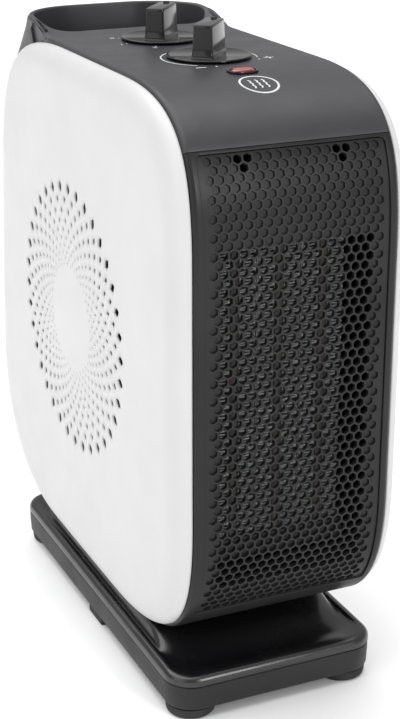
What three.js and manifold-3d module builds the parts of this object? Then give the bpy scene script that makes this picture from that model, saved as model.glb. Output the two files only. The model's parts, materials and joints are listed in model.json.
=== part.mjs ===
// Ceramic space heater with a swinging base.
// Millimetres. +Z is up, the outlet grille faces -Y, and the origin is on the floor under the
// middle of the body. The body is a dark core between two crowned white side covers. A
// centrifugal blower draws air through the side covers and drives it through a block of
// ceramic heating elements behind the grille. The body turns on a low base with a crank drive.

import * as THREE from 'three';
import Module from 'manifold-3d';
import { mergeVertices } from 'three/addons/utils/BufferGeometryUtils.js';

const wasm = await Module();
wasm.setup();

// ---------------------------------------------------------------------------
// Driving dimensions
// ---------------------------------------------------------------------------

const gap = 0.3; // between pieces that rest on or beside each other
const wall = 2.4; // moulded casing walls
const runningGap = 0.3; // round a shaft in its bearing

// Side outline of the body, seen along X
const bodyFront = 126.7; // middle to the front face
const bodyDepth = 262.6; // front face to the back line, at the bottom
const bodyHeight = 260;
const backLean = 0.109; // how far the back comes forward for each unit of height
const cornerFrontBottom = { along: 83.7, up: 72.6, fullness: 0.71 };
const cornerFrontTop = { along: 71.7, up: 69.4, fullness: 0.757 };
const cornerBackTop = { along: 85.5, up: 69.4, fullness: 0.78 };
const cornerBackBottom = { along: 90.9, up: 88.6, fullness: 0.6 };
const cornerSteps = 6;

// Widths
const coreWidth = 96.6; // dark band between the side covers
const coverStandOut = 9.2; // how far a side cover stands out from the core
const coverEdge = 14; // how far in from its outline a cover's rounded edge reaches
const coverWall = 2.2;
const platePanel = 2.2; // inner side plates

// Front frame and grille
const frameRail = 4.3; // frame beside the grille
const frontSeam = 21.8; // top of the body down to the frame's top edge
const grilleTopRail = 1.4;
const grilleBottom = 29.1; // bottom of the body up to the grille
const grilleSetBack = 0.8;
const grilleThickness = 2.2;
const bottomSeam = 66.7; // front face back to the seam under the body
const slotRows = 16;
const slotColumns = 3;
const slotHeight = 5.6;
const slotLand = 3; // bar between slots
const windowSide = 7.2; // closed grille beside the open window
const windowBottom = 47; // above the bottom of the body
const windowTop = 64; // below the top of the body

// Top cover and handle
const rimRise = 6.6; // the handle rim above the top of the body
const riseStart = 66; // behind it the top climbs to the rim
const rimThickness = 3.4;
const rimRound = 4;
const rimCorner = 34; // plan radius of the rim's rear corners, which fade out below it
const rimCornerHeight = 34; // from the top of the rim down to where the corners are square
const rimCornerSteps = 6;
const pocketLength = 47;
const pocketSide = 3.4; // core's side in to the pocket
const pocketDepth = 32;
const pocketRadius = 16; // front corners; the rear ones follow the rim
const pocketWall = 2;
const seamBelowPocket = 5;

// Controls
const knobDiameter = 39;
const knobSkirt = 1.4;
const knobGripHeight = 14.6;
const knobGripLength = 24;
const knobGripWidth = 9.5;
const knobTurn = 51; // rest angle of the grips about Z, degrees
const frontKnobFromMiddle = 35;
const backKnobFromMiddle = 20;
const shaftDiameter = 6;
const shaftDrop = 14; // shaft below the underside of the top cover
const switchSide = 30;
const switchHeight = 20;
const lensFromMiddle = 70;
const lensLength = 11;
const lensWidth = 6.5;
const lensRise = 1;
const lampDiameter = 6;
const lampLength = 14;

// Blower
const fanAboveMiddle = 1.9;
const impellerDiameter = 104;
const impellerBlades = 18;
const bladeDepth = 10;
const bladeThickness = 1.2;
const impellerDisc = 2;
const impellerHub = 8;
const scrollStart = 6; // scroll clearance at the tongue
const scrollGrowth = 18; // extra radius gained round the scroll
const scrollTongue = 205; // degrees from +Y towards +Z
const scrollEnd = 450;
const scrollSteps = 20;
const housingWall = 2;
const housingClear = 4; // impeller to the housing's side walls
const inletDiameter = 92;
const impellerFromLeft = 12.3; // impeller's open side in from the core's left side
const rosetteRadius = 64.4;
const rosetteHoles = 12;
const rosetteRings = 3;
const rosetteStep = 13;
const rosetteHoleLength = 7.5;
const rosetteHoleWidth = 4.6;

// Motor
const motorShaftDiameter = 5;
const rotorDiameter = 24;
const statorThickness = 18;
const statorHalfWidth = 30;
const statorAbove = 20;
const statorBelow = 44;
const statorLimb = 10;
const coilThickness = 7;
const bracketThickness = 2.5;
const bracketClear = 3.5;
const bearingBoss = 6;
const shaftEnd = 1; // shaft past the outer bracket
const motorEndClear = 2.8; // shaft end to the side plate

// Heating block
const blockFromGrille = 18;
const blockDepth = 16;
const blockBottom = 54.6; // above the bottom of the body
const blockTop = 65.4; // below the top of the body
const finWidth = 7.8;
const barWidth = 3.9;
const dividerWidth = 0.7;
const blockUnits = 3;
const holderHeight = 8;
const holderOverlap = 2;
const cutoutDiameter = 12;
const cutoutHeight = 6;

// Base
const baseWidth = 106.8;
const baseFromFront = 10.3; // front of the body back to the front of the base
const baseCorner = 14;
const footHeight = 5.5;
const footDiameter = 24;
const footInset = 13.5;
const skirtHeight = 12.4;
const skirtWall = 2.4;
const lidPlate = 2.4;
const lidRimHeight = 5.3;
const lidRimWidth = 5;
const neckInset = 4.6; // lid edge to the foot of the raised neck, at the sides
const neckEndInset = 23; // lid edge to the foot of the neck, at the ends
const neckEndClear = 7.9; // swing arm's tip to the neck's inner wall
const neckRadius = 26;
const neckSlope = 4;
const neckGap = 3.4; // lid neck to the bottom of the body
const ringInner = 30;
const ringOuter = 41;
const sideRestLength = 18;
const sideRestWidth = 7;
const sideRestInset = 2;

// Swing drive
const spindleOuter = 14;
const spindleBore = 9.5;
const spindleFlange = 30;
const spindleFlangeThickness = 3;
const armThickness = 2.2;
const armWidth = 12;
const armHub = 17.4;
const retainerThickness = 3.2;
const crankThrow = 22;
const crankHubClear = 0.6; // crank disc to the spindle's hub
const crankThickness = 2;
const crankPin = 2.4;
const crankRim = 4;
const crankPinRise = 0.6; // pin above the crank disc
const crankPinClear = 0.5; // the pin stops short of the arm it would drive
const swingMotorDiameter = 50;
const swingMotorHeight = 11.5;

// Small parts
const screwHead = 6;
const screwShank = 3;
const screwLength = 8;
const glandDiameter = 17;
const glandBore = 7.6;
const glandNeck = 12;
const glandFlange = 1.2;
const glandFromMiddle = 26;
const glandHeight = 58; // above the bottom of the body
const ventSlots = 6;
const ventSlotLength = 44;
const ventSlotHeight = 2.6;
const ventPitch = 8;
const tipSwitch = { x: 20, y: 12, z: 16 };
const terminal = { x: 25, y: 14, z: 12 };

// ---------------------------------------------------------------------------
// Places worked out from the dimensions
// ---------------------------------------------------------------------------

// The base's height is the stack that it holds: motor, crank, arm and the lid's raised neck.
const skirtTop = footHeight + skirtHeight;
const lidBottom = skirtTop + gap;
const swingMotorBottom = footHeight + skirtWall + gap;
const swingMotorTop = swingMotorBottom + swingMotorHeight;
const crankBottom = swingMotorTop + gap;
const crankTop = crankBottom + crankThickness;
const crankPinTop = crankTop + crankPinRise;
const armBottom = crankPinTop + crankPinClear;
const armTop = armBottom + armThickness;
const neckUnder = armTop + gap;
const neckTop = neckUnder + lidPlate;

const bodyBottom = neckTop + neckGap;
const bodyTop = bodyBottom + bodyHeight;
const frontY = -bodyFront;
const coreHalf = coreWidth / 2;
const coverInside = coreHalf + gap;
const coverOutside = coreHalf + coverStandOut;
const fanZ = bodyBottom + bodyHeight / 2 + fanAboveMiddle;
const fanY = 0;
const undersideOfTop = bodyTop - wall;
const rimTop = bodyTop + rimRise;
const grilleLow = bodyBottom + grilleBottom;
const frameTop = bodyTop - frontSeam;
const grilleHigh = frameTop - grilleTopRail;
const grilleHalf = coreHalf - frameRail;
const pocketFloor = bodyTop - pocketDepth;
const backSeam = pocketFloor - pocketWall - seamBelowPocket;
const knobSeat = bodyTop + gap;
const knobGripFoot = knobSeat + knobSkirt;
const frontKnobY = -frontKnobFromMiddle;
const backKnobY = backKnobFromMiddle;

// The neck covers the swing arm's sweep, and the base is longer than the neck.
const crankCentre = armHub + crankHubClear + crankThrow + crankRim;
const armReach = crankCentre + crankThrow + crankPin + crankRim;
const neckHalf = armReach + neckEndClear + neckSlope + lidPlate;
const baseLength = 2 * (neckHalf + neckEndInset);
const baseFront = frontY + baseFromFront;
const baseBack = baseFront + baseLength;
const baseMiddle = (baseFront + baseBack) / 2;
const swingY = baseMiddle;
const windowWidth = 2 * (grilleHalf - windowSide);
const pocketWidth = coreWidth - 2 * pocketSide;

// The impeller takes the width that the motor leaves.
const motorLength = 2 * (bracketThickness + bracketClear) + statorThickness;
const impellerWidth = coreWidth - impellerFromLeft - housingClear - housingWall - gap
  - motorLength - shaftEnd - motorEndClear - platePanel;
const impellerLeft = -coreHalf + impellerFromLeft;
const impellerRight = impellerLeft + impellerWidth;
const housingLeft = impellerLeft - housingClear - housingWall;
const housingRight = impellerRight + housingClear + housingWall;
const housingSplit = (housingLeft + housingRight) / 2;
const outletY = -impellerDiameter / 2 - scrollStart - housingWall;
const bracketInner = housingRight + gap;
const statorLeft = bracketInner + bracketThickness + bracketClear;
const statorRight = statorLeft + statorThickness;
const bracketOuter = statorRight + bracketClear;
const blockFront = frontY + blockFromGrille;
const blockBack = blockFront + blockDepth;
const blockLow = bodyBottom + blockBottom;
const blockHigh = bodyTop - blockTop;
const unitPitch = 2 * finWidth + barWidth + dividerWidth + 4 * gap;
const blockWidth = blockUnits * unitPitch - dividerWidth - 2 * gap;
const ductFront = blockBack + holderOverlap + gap;
const crankY = swingY + crankCentre;

const backLine = (z) => frontY + bodyDepth - backLean * (z - bodyBottom);

// ---------------------------------------------------------------------------
// Materials
// ---------------------------------------------------------------------------

function finish(color, roughness, metalness = 0) {
  return new THREE.MeshStandardMaterial({ color, roughness, metalness });
}

const coverWhite = finish(0xe6e6e6, 0.35);
const coverGrey = finish(0x48494d, 0.42);
const grilleGrey = finish(0x35363a, 0.5);
const glossBlack = finish(0x101012, 0.12);
const baseBlack = finish(0x1b1b1d, 0.3);
const skirtGrey = finish(0x303033, 0.6);
const softRubber = finish(0x161616, 0.85);
const innerPlastic = finish(0x2a2a2c, 0.6);
const heatPlastic = finish(0xcfc8b4, 0.6);
const bareAluminium = finish(0xc4c6c8, 0.4, 0.9);
const ceramicDark = finish(0x3a3634, 0.7);
const steel = finish(0x9a9da0, 0.35, 0.9);
const copper = finish(0xa8683a, 0.4, 0.7);
const lensRed = finish(0xb41e23, 0.2);
const paleGlass = finish(0xd8b070, 0.2);

// ---------------------------------------------------------------------------
// Solid making
// ---------------------------------------------------------------------------

const xAxis = new THREE.Vector3(1, 0, 0);
const yAxis = new THREE.Vector3(0, 1, 0);
const zAxis = new THREE.Vector3(0, 0, 1);
const outlineToSide = new THREE.Matrix4().makeBasis(yAxis, zAxis, xAxis);

function solid(geometry) {
  geometry.deleteAttribute('normal');
  geometry.deleteAttribute('uv');
  const merged = mergeVertices(geometry, 1e-4);
  return new wasm.Manifold(new wasm.Mesh({
    numProp: 3,
    vertProperties: new Float32Array(merged.attributes.position.array),
    triVerts: new Uint32Array(merged.index.array),
  }));
}

function geometryOf(body) {
  const data = body.getMesh();
  const geometry = new THREE.BufferGeometry();
  geometry.setAttribute('position', new THREE.BufferAttribute(data.vertProperties, 3));
  geometry.setIndex(new THREE.BufferAttribute(data.triVerts, 1));
  geometry.computeVertexNormals();
  return geometry;
}

// A box between two corners.
function box(x0, x1, y0, y1, z0, z1) {
  const geometry = new THREE.BoxGeometry(x1 - x0, y1 - y0, z1 - z0);
  geometry.translate((x0 + x1) / 2, (y0 + y1) / 2, (z0 + z1) / 2);
  return solid(geometry);
}

// A (y, z) outline pushed along X, with rounded ends when a bevel is given.
function alongX(shape, x0, x1, steps = cornerSteps, bevel = null) {
  const options = { depth: x1 - x0, bevelEnabled: false, curveSegments: steps };
  if (bevel) {
    options.depth -= 2 * bevel.depth;
    options.bevelEnabled = true;
    options.bevelThickness = bevel.depth;
    options.bevelSize = bevel.inset;
    options.bevelOffset = -bevel.inset;
    options.bevelSegments = bevel.steps;
  }
  const geometry = new THREE.ExtrudeGeometry(shape, options);
  geometry.translate(0, 0, bevel ? x0 + bevel.depth : x0);
  geometry.applyMatrix4(outlineToSide);
  return solid(geometry);
}

// An (x, y) outline pushed up Z.
function alongZ(shape, z0, z1, steps = 5) {
  const options = { depth: z1 - z0, bevelEnabled: false, curveSegments: steps };
  const geometry = new THREE.ExtrudeGeometry(shape, options);
  geometry.translate(0, 0, z0);
  return solid(geometry);
}

// A round bar along Z, and one along X.
function barZ(radius, x, y, z0, z1, sides = 24) {
  const geometry = new THREE.CylinderGeometry(radius, radius, z1 - z0, sides);
  geometry.rotateX(Math.PI / 2);
  geometry.translate(x, y, (z0 + z1) / 2);
  return solid(geometry);
}

function barX(radius, x0, x1, y, z, sides = 24) {
  const geometry = new THREE.CylinderGeometry(radius, radius, x1 - x0, sides);
  geometry.rotateZ(Math.PI / 2);
  geometry.translate((x0 + x1) / 2, y, z);
  return solid(geometry);
}

function barY(radius, x, y0, y1, z, sides = 20) {
  const geometry = new THREE.CylinderGeometry(radius, radius, y1 - y0, sides);
  geometry.translate(x, (y0 + y1) / 2, z);
  return solid(geometry);
}

// A turned piece about a vertical axis, from (radius, height) points that start and end on it.
function turned(profile, x, y, sides = 32) {
  const points = profile.map(([r, z]) => new THREE.Vector2(r, z));
  const geometry = new THREE.LatheGeometry(points, sides);
  geometry.rotateX(Math.PI / 2);
  geometry.translate(x, y, 0);
  return solid(geometry);
}

function roundedRectangle(x0, x1, y0, y1, radius, rear = radius) {
  const shape = new THREE.Shape();
  shape.moveTo(x0 + radius, y0);
  shape.absarc(x1 - radius, y0 + radius, radius, -Math.PI / 2, 0);
  shape.absarc(x1 - rear, y1 - rear, rear, 0, Math.PI / 2);
  shape.absarc(x0 + rear, y1 - rear, rear, Math.PI / 2, Math.PI);
  shape.absarc(x0 + radius, y0 + radius, radius, Math.PI, 1.5 * Math.PI);
  return shape;
}

// ---------------------------------------------------------------------------
// Outlines of the body
// ---------------------------------------------------------------------------

// Curves from the pen's place at `from` to `to`, round the square corner at `corner`.
function roundCorner(shape, from, corner, to, fullness) {
  const towards = (point) => [
    point[0] + fullness * (corner[0] - point[0]),
    point[1] + fullness * (corner[1] - point[1]),
  ];
  shape.bezierCurveTo(...towards(from), ...towards(to), ...to);
}

// Front, and both bottom corners, which the covers and the core share.
function lowerOutline(inset) {
  const shape = new THREE.Shape();
  const front = frontY + inset;
  const bottom = bodyBottom + inset;
  const back = (z) => backLine(z) - inset;
  const backStart = [back(bodyBottom + cornerBackBottom.up), bodyBottom + cornerBackBottom.up];
  const backEnd = [backLine(bodyBottom) - cornerBackBottom.along, bottom];
  const frontStart = [frontY + cornerFrontBottom.along, bottom];
  const frontEnd = [front, bodyBottom + cornerFrontBottom.up];
  shape.moveTo(...backStart);
  roundCorner(shape, backStart, [back(bottom), bottom], backEnd, cornerBackBottom.fullness);
  shape.lineTo(...frontStart);
  roundCorner(shape, frontStart, [front, bottom], frontEnd, cornerFrontBottom.fullness);
  return shape;
}

function addFrontTop(shape, inset) {
  const front = frontY + inset;
  const top = bodyTop - inset;
  const from = [front, bodyTop - cornerFrontTop.up];
  shape.lineTo(...from);
  roundCorner(shape, from, [front, top], [frontY + cornerFrontTop.along, top],
    cornerFrontTop.fullness);
}

// The side covers have a large round corner at the top of the back.
function coverOutline(inset) {
  const shape = lowerOutline(inset);
  const top = bodyTop - inset;
  const back = (z) => backLine(z) - inset;
  addFrontTop(shape, inset);
  const from = [backLine(bodyTop) - cornerBackTop.along, top];
  const to = [back(bodyTop - cornerBackTop.up), bodyTop - cornerBackTop.up];
  shape.lineTo(...from);
  roundCorner(shape, from, [back(top), top], to, cornerBackTop.fullness);
  shape.closePath();
  return shape;
}

// The core rises to the handle's rim at the top of the back.
function coreOutline(inset) {
  const shape = lowerOutline(inset);
  const top = bodyTop - inset;
  const rim = rimTop - inset;
  const back = (z) => backLine(z) - inset;
  addFrontTop(shape, inset);
  const riseFrom = backLine(rimTop) - riseStart;
  const crest = backLine(rimTop) - rimRound - inset;
  shape.lineTo(riseFrom, top);
  shape.bezierCurveTo(riseFrom + riseStart / 2, top, crest - riseStart / 4, rim, crest, rim);
  shape.quadraticCurveTo(back(rim), rim, back(rim - rimRound), rim - rimRound);
  shape.closePath();
  return shape;
}

const coreBand = alongX(coreOutline(0), -coreHalf, coreHalf)
  .subtract(alongX(coreOutline(wall), -coreHalf - 1, coreHalf + 1));

// ---------------------------------------------------------------------------
// Casing
// ---------------------------------------------------------------------------

// Diamond holes in rings round the fan's axis.
function rosette(x0, x1) {
  let holes = null;
  for (let ring = 0; ring < rosetteRings; ring += 1) {
    const radius = rosetteRadius - rosetteHoleLength / 2 - ring * rosetteStep;
    const width = (rosetteHoleWidth * radius) / rosetteRadius;
    for (let i = 0; i < rosetteHoles; i += 1) {
      const angle = ((i + (ring % 2) / 2) / rosetteHoles) * 2 * Math.PI;
      const outward = new THREE.Vector2(Math.cos(angle), Math.sin(angle));
      const across = new THREE.Vector2(-outward.y, outward.x);
      const centre = new THREE.Vector2(fanY, fanZ).addScaledVector(outward, radius);
      const hole = new THREE.Shape([
        centre.clone().addScaledVector(outward, rosetteHoleLength / 2),
        centre.clone().addScaledVector(across, width / 2),
        centre.clone().addScaledVector(outward, -rosetteHoleLength / 2),
        centre.clone().addScaledVector(across, -width / 2),
      ]);
      const cut = alongX(hole, x0, x1);
      holes = holes ? holes.add(cut) : cut;
    }
  }
  return holes;
}

// side is -1 for the left cover and 1 for the right one.
function sideCover(side) {
  const edge = { depth: coverStandOut - gap, inset: coverEdge, steps: 3 };
  const inner = { depth: edge.depth - coverWall, inset: coverEdge - 1, steps: 3 };
  const outside = alongX(coverOutline(0), -coverOutside, coverOutside, cornerSteps, edge);
  const inside = alongX(coverOutline(coverWall), -coverOutside + coverWall,
    coverOutside - coverWall, cornerSteps, inner);
  const half = side < 0
    ? box(-coverOutside - 1, -coverInside, frontY - 1, -frontY + 20, 0, rimTop)
    : box(coverInside, coverOutside + 1, frontY - 1, -frontY + 20, 0, rimTop);
  const through = side < 0
    ? rosette(-coverOutside - 1, -coverInside)
    : rosette(coverInside, coverOutside + 1);
  return outside.subtract(inside).intersect(half).subtract(through);
}

function frontFrame() {
  const seamBack = frontY + bottomSeam;
  const region = box(-coreHalf, coreHalf, frontY - 1, seamBack, 0, frameTop - gap);
  const opening = box(-grilleHalf, grilleHalf, frontY - 1, frontY + cornerFrontTop.along / 2,
    grilleLow, grilleHigh);
  return coreBand.intersect(region).subtract(opening);
}

function frontGrille() {
  const outer = alongX(coreOutline(grilleSetBack), -grilleHalf + gap, grilleHalf - gap);
  const inner = alongX(coreOutline(grilleSetBack + grilleThickness), -grilleHalf, grilleHalf);
  const region = box(-grilleHalf, grilleHalf, frontY - 1, frontY + cornerFrontTop.along / 2,
    grilleLow + gap, grilleHigh - gap);
  const low = bodyBottom + windowBottom;
  const rowPitch = (bodyTop - windowTop - low) / slotRows;
  const columnPitch = windowWidth / slotColumns;
  let panel = outer.subtract(inner).intersect(region);
  for (let row = 0; row < slotRows; row += 1) {
    const z = low + (row + 0.5) * rowPitch;
    for (let column = 0; column < slotColumns; column += 1) {
      const x = -windowWidth / 2 + (column + 0.5) * columnPitch;
      const half = (columnPitch - slotLand) / 2;
      panel = panel.subtract(box(x - half, x + half, frontY - 1, frontY + 12,
        z - slotHeight / 2, z + slotHeight / 2));
    }
  }
  return panel;
}

function capsule(length, width, y) {
  const half = width / 2;
  const reach = length / 2 - half;
  const shape = new THREE.Shape();
  shape.absarc(reach, y, half, -Math.PI / 2, Math.PI / 2);
  shape.absarc(-reach, y, half, Math.PI / 2, 1.5 * Math.PI);
  return shape;
}

const pocketBack = backLine(rimTop) - rimThickness;
const pocketFront = pocketBack - pocketLength;

function pocketBlock(grow, z0, z1) {
  const half = pocketWidth / 2 + grow;
  return alongZ(roundedRectangle(-half, half, pocketFront - grow, pocketBack + grow,
    pocketRadius + grow, rimCorner - rimThickness + grow), z0, z1);
}

// What the rim's rear corners cut away: columns up to the rim, each rounder than the last.
function rimCornerWaste() {
  let waste = null;
  for (let i = 0; i < rimCornerSteps; i += 1) {
    const z0 = rimTop - rimCornerHeight * (1 - i / rimCornerSteps);
    const back = backLine(z0) + gap;
    const side = coreHalf + gap;
    const radius = (rimCorner * (i + 1)) / rimCornerSteps;
    const plan = roundedRectangle(-side, side, frontY, back, radius);
    const column = box(-side - 1, side + 1, back - radius, backLine(0), z0, rimTop + 1)
      .subtract(alongZ(plan, z0 - 1, rimTop + 2));
    waste = waste ? waste.add(column) : column;
  }
  return waste;
}

function topCover() {
  const frontPart = box(-coreHalf, coreHalf, frontY - 1, 1, frameTop, rimTop + 1);
  const backPart = box(-coreHalf, coreHalf, 0, backLine(0) + 1, backSeam + gap, rimTop + 1);
  const band = coreBand.intersect(frontPart.add(backPart));
  const core = alongX(coreOutline(0), -coreHalf, coreHalf);
  const pocket = pocketBlock(pocketWall, pocketFloor - pocketWall, rimTop + 1).intersect(core);
  const rearWall = core.intersect(box(-coreHalf, coreHalf, pocketBack, backLine(0),
    pocketFloor - pocketWall, rimTop + 1));
  let cover = band.add(pocket).add(rearWall).subtract(rimCornerWaste())
    .subtract(pocketBlock(0, pocketFloor, rimTop + 2));
  const shaftHole = shaftDiameter / 2 + 2 * runningGap;
  for (const y of [frontKnobY, backKnobY]) {
    cover = cover.subtract(barZ(shaftHole, 0, y, undersideOfTop - 1, bodyTop + 1));
  }
  return cover.subtract(alongZ(capsule(lensLength + 2 * gap, lensWidth + 2 * gap,
    -lensFromMiddle), undersideOfTop - 3, bodyTop + 1));
}

function rearShell() {
  const seamBack = frontY + bottomSeam;
  const region = box(-coreHalf, coreHalf, seamBack + gap, backLine(0) + 1, 0, backSeam);
  const glandZ = bodyBottom + glandHeight;
  let shell = coreBand.intersect(region)
    .subtract(barZ(spindleOuter + 2, 0, swingY, 0, bodyBottom + wall + 1))
    .subtract(barY(glandNeck / 2 + gap, glandFromMiddle, 60, backLine(0) + 1, glandZ));
  for (let i = 0; i < ventSlots; i += 1) {
    const z = fanZ + (i - (ventSlots - 1) / 2) * ventPitch;
    shell = shell.subtract(box(-ventSlotLength / 2, ventSlotLength / 2, 90, backLine(0) + 1,
      z - ventSlotHeight / 2, z + ventSlotHeight / 2));
  }
  return shell;
}

// Inner side plates close the core up to the handle's pocket. The left one has the blower's
// inlet, and the right one carries the motor on a disc with three arms.
function sidePlate(side) {
  const x0 = side < 0 ? -coreHalf : coreHalf - platePanel;
  const outline = coreOutline(wall + gap);
  let plate = alongX(outline, x0, x0 + platePanel)
    .subtract(box(x0 - 1, x0 + platePanel + 1, pocketFront - pocketWall - gap, backLine(0),
      pocketFloor - pocketWall - gap, rimTop))
    .subtract(barX(inletDiameter / 2, x0 - 1, x0 + platePanel + 1, fanY, fanZ, 36));
  if (side > 0) {
    plate = plate.add(barX(inletDiameter / 4, x0, x0 + platePanel, fanY, fanZ));
    for (let i = 0; i < 3; i += 1) {
      const arm = new THREE.BoxGeometry(platePanel, 8, inletDiameter / 2);
      arm.translate(x0 + platePanel / 2, 0, inletDiameter / 4 + 3);
      arm.rotateX((i * 2 * Math.PI) / 3);
      arm.translate(0, fanY, fanZ);
      plate = plate.add(solid(arm));
    }
  }
  return plate;
}

// ---------------------------------------------------------------------------
// Blower and motor
// ---------------------------------------------------------------------------

function scrollOutline(grow, outletReach) {
  const impeller = impellerDiameter / 2;
  const start = impeller + scrollStart;
  const points = [];
  for (let i = 0; i <= scrollSteps; i += 1) {
    const share = i / scrollSteps;
    const angle = THREE.MathUtils.degToRad(scrollTongue + share * (scrollEnd - scrollTongue));
    const radius = start + scrollGrowth * share + grow;
    points.push(new THREE.Vector2(fanY + radius * Math.cos(angle),
      fanZ + radius * Math.sin(angle)));
  }
  const top = points[points.length - 1].y;
  const tongue = points[0].y;
  points.push(new THREE.Vector2(outletReach, top - grow / 2));
  points.push(new THREE.Vector2(outletReach, tongue - grow / 2));
  return new THREE.Shape(points);
}

// side is -1 for the half with the inlet and 1 for the half beside the motor.
function blowerHousing(side) {
  const x0 = side < 0 ? housingLeft : housingSplit + gap / 2;
  const x1 = side < 0 ? housingSplit - gap / 2 : housingRight;
  const air0 = side < 0 ? housingLeft + housingWall : housingSplit - 1;
  const air1 = side < 0 ? housingSplit + 1 : housingRight - housingWall;
  const opening = side < 0 ? inletDiameter / 2 - 4 : bearingBoss + 2;
  return alongX(scrollOutline(housingWall, outletY), x0, x1)
    .subtract(alongX(scrollOutline(0, outletY - 5), air0, air1))
    .subtract(barX(opening, x0 - 1, x1 + 1, fanY, fanZ, 32));
}

function outletDuct() {
  const back = outletY - gap;
  const front = ductFront;
  const low = blockLow - holderHeight;
  const high = blockHigh + holderHeight;
  const throatLow = fanZ + (impellerDiameter / 2) * Math.sin(
    THREE.MathUtils.degToRad(scrollTongue)) - housingWall - 2;
  const throatHigh = fanZ + impellerDiameter / 2 + scrollStart + scrollGrowth + housingWall;
  const half = blockWidth / 2 + holderOverlap;
  const sideView = (grow) => new THREE.Shape([
    new THREE.Vector2(front - (grow ? 0 : 1), low + housingWall - grow),
    new THREE.Vector2(back + (grow ? 0 : 1), throatLow + housingWall - grow),
    new THREE.Vector2(back + (grow ? 0 : 1), throatHigh - housingWall + grow),
    new THREE.Vector2(front - (grow ? 0 : 1), high - housingWall + grow),
  ]);
  const planView = (grow) => new THREE.Shape([
    new THREE.Vector2(-half + housingWall - grow, front - (grow ? 0 : 1)),
    new THREE.Vector2(half - housingWall + grow, front - (grow ? 0 : 1)),
    new THREE.Vector2(housingRight - housingWall + grow, back + (grow ? 0 : 1)),
    new THREE.Vector2(housingLeft + housingWall - grow, back + (grow ? 0 : 1)),
  ]);
  const outside = alongX(sideView(housingWall), -coreHalf, coreHalf)
    .intersect(alongZ(planView(housingWall), 0, bodyTop));
  const inside = alongX(sideView(0), -coreHalf, coreHalf).intersect(
    alongZ(planView(0), 0, bodyTop));
  return outside.subtract(inside);
}

function impeller() {
  const radius = impellerDiameter / 2;
  let wheel = barX(radius, impellerRight - impellerDisc, impellerRight, fanY, fanZ, 28);
  const ring = barX(radius, impellerLeft, impellerLeft + impellerDisc, fanY, fanZ, 28)
    .subtract(barX(radius - bladeDepth, impellerLeft - 1, impellerLeft + impellerDisc + 1,
      fanY, fanZ, 28));
  wheel = wheel.add(ring);
  wheel = wheel.add(barX(impellerHub, impellerRight - 16, impellerRight, fanY, fanZ));
  for (let i = 0; i < impellerBlades; i += 1) {
    const blade = new THREE.BoxGeometry(impellerWidth - impellerDisc, bladeThickness,
      bladeDepth);
    blade.rotateX(0.5);
    blade.translate((impellerLeft + impellerRight) / 2, 0, radius - bladeDepth / 2 - 0.6);
    blade.rotateX((i / impellerBlades) * 2 * Math.PI);
    blade.translate(0, fanY, fanZ);
    wheel = wheel.add(solid(blade));
  }
  return wheel.subtract(barX(motorShaftDiameter / 2 + gap, impellerRight - 20,
    impellerRight + 1, fanY, fanZ));
}

function motorRotor() {
  const end = bracketOuter + bracketThickness + shaftEnd;
  const shaft = barX(motorShaftDiameter / 2, impellerRight - 12, end, fanY, fanZ);
  return shaft.add(barX(rotorDiameter / 2, statorLeft, statorRight, fanY, fanZ));
}

function motorStator() {
  const outline = box(statorLeft, statorRight, fanY - statorHalfWidth, fanY + statorHalfWidth,
    fanZ - statorBelow, fanZ + statorAbove);
  const window = box(statorLeft - 1, statorRight + 1, fanY - statorHalfWidth + statorLimb,
    fanY + statorHalfWidth - statorLimb, fanZ - statorBelow + statorLimb,
    fanZ - rotorDiameter / 2 - statorLimb / 2);
  return outline.subtract(window)
    .subtract(barX(rotorDiameter / 2 + 2 * runningGap, statorLeft - 1, statorRight + 1,
      fanY, fanZ));
}

function motorCoil() {
  const half = statorHalfWidth - statorLimb - gap;
  const legLow = fanZ - statorBelow;
  const legHigh = legLow + statorLimb;
  const around = coilThickness - 1;
  return box(statorLeft - bracketClear + gap, statorRight + bracketClear - gap, fanY - half,
    fanY + half, legLow - around, legHigh + around)
    .subtract(box(statorLeft - gap, statorRight + gap, fanY - half - 1, fanY + half + 1,
      legLow - gap, legHigh + gap));
}

// A bearing bridge across the stator, on the blower's side or the cover's side.
function motorBracket(x0) {
  return box(x0, x0 + bracketThickness, fanY - statorHalfWidth, fanY + statorHalfWidth,
    fanZ - bearingBoss, fanZ + bearingBoss)
    .add(barX(bearingBoss + 2, x0, x0 + bracketThickness, fanY, fanZ))
    .subtract(barX(motorShaftDiameter / 2 + runningGap, x0 - 1, x0 + bracketThickness + 1,
      fanY, fanZ));
}

// ---------------------------------------------------------------------------
// Heating block
// ---------------------------------------------------------------------------

// One unit is fin, ceramic bar, fin, and a divider plate before the next unit.
function heatingBlock(add) {
  const slab = (x, width) => box(x, x + width, blockFront, blockBack, blockLow, blockHigh);
  for (let unit = 0; unit < blockUnits; unit += 1) {
    const left = -blockWidth / 2 + unit * unitPitch;
    const bar = left + finWidth + gap;
    const second = bar + barWidth + gap;
    add(`ptc_fin_${2 * unit + 1}`, slab(left, finWidth), bareAluminium);
    add(`ptc_bar_${unit + 1}`, slab(bar, barWidth), ceramicDark);
    add(`ptc_fin_${2 * unit + 2}`, slab(second, finWidth), bareAluminium);
    if (unit < blockUnits - 1) {
      const divider = second + finWidth + gap;
      add(`ptc_divider_${unit + 1}`, slab(divider, dividerWidth), bareAluminium);
    }
  }
}

// End holders, with a shallow seat for the ends of the fins and bars.
function blockHolder(z0, z1, seat0, seat1) {
  const half = blockWidth / 2 + holderOverlap;
  const seatHalf = blockWidth / 2 + gap;
  return box(-half, half, blockFront - holderOverlap, blockBack + holderOverlap, z0, z1)
    .subtract(box(-seatHalf, seatHalf, blockFront - gap, blockBack + gap, seat0, seat1));
}

// ---------------------------------------------------------------------------
// Controls
// ---------------------------------------------------------------------------

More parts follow.
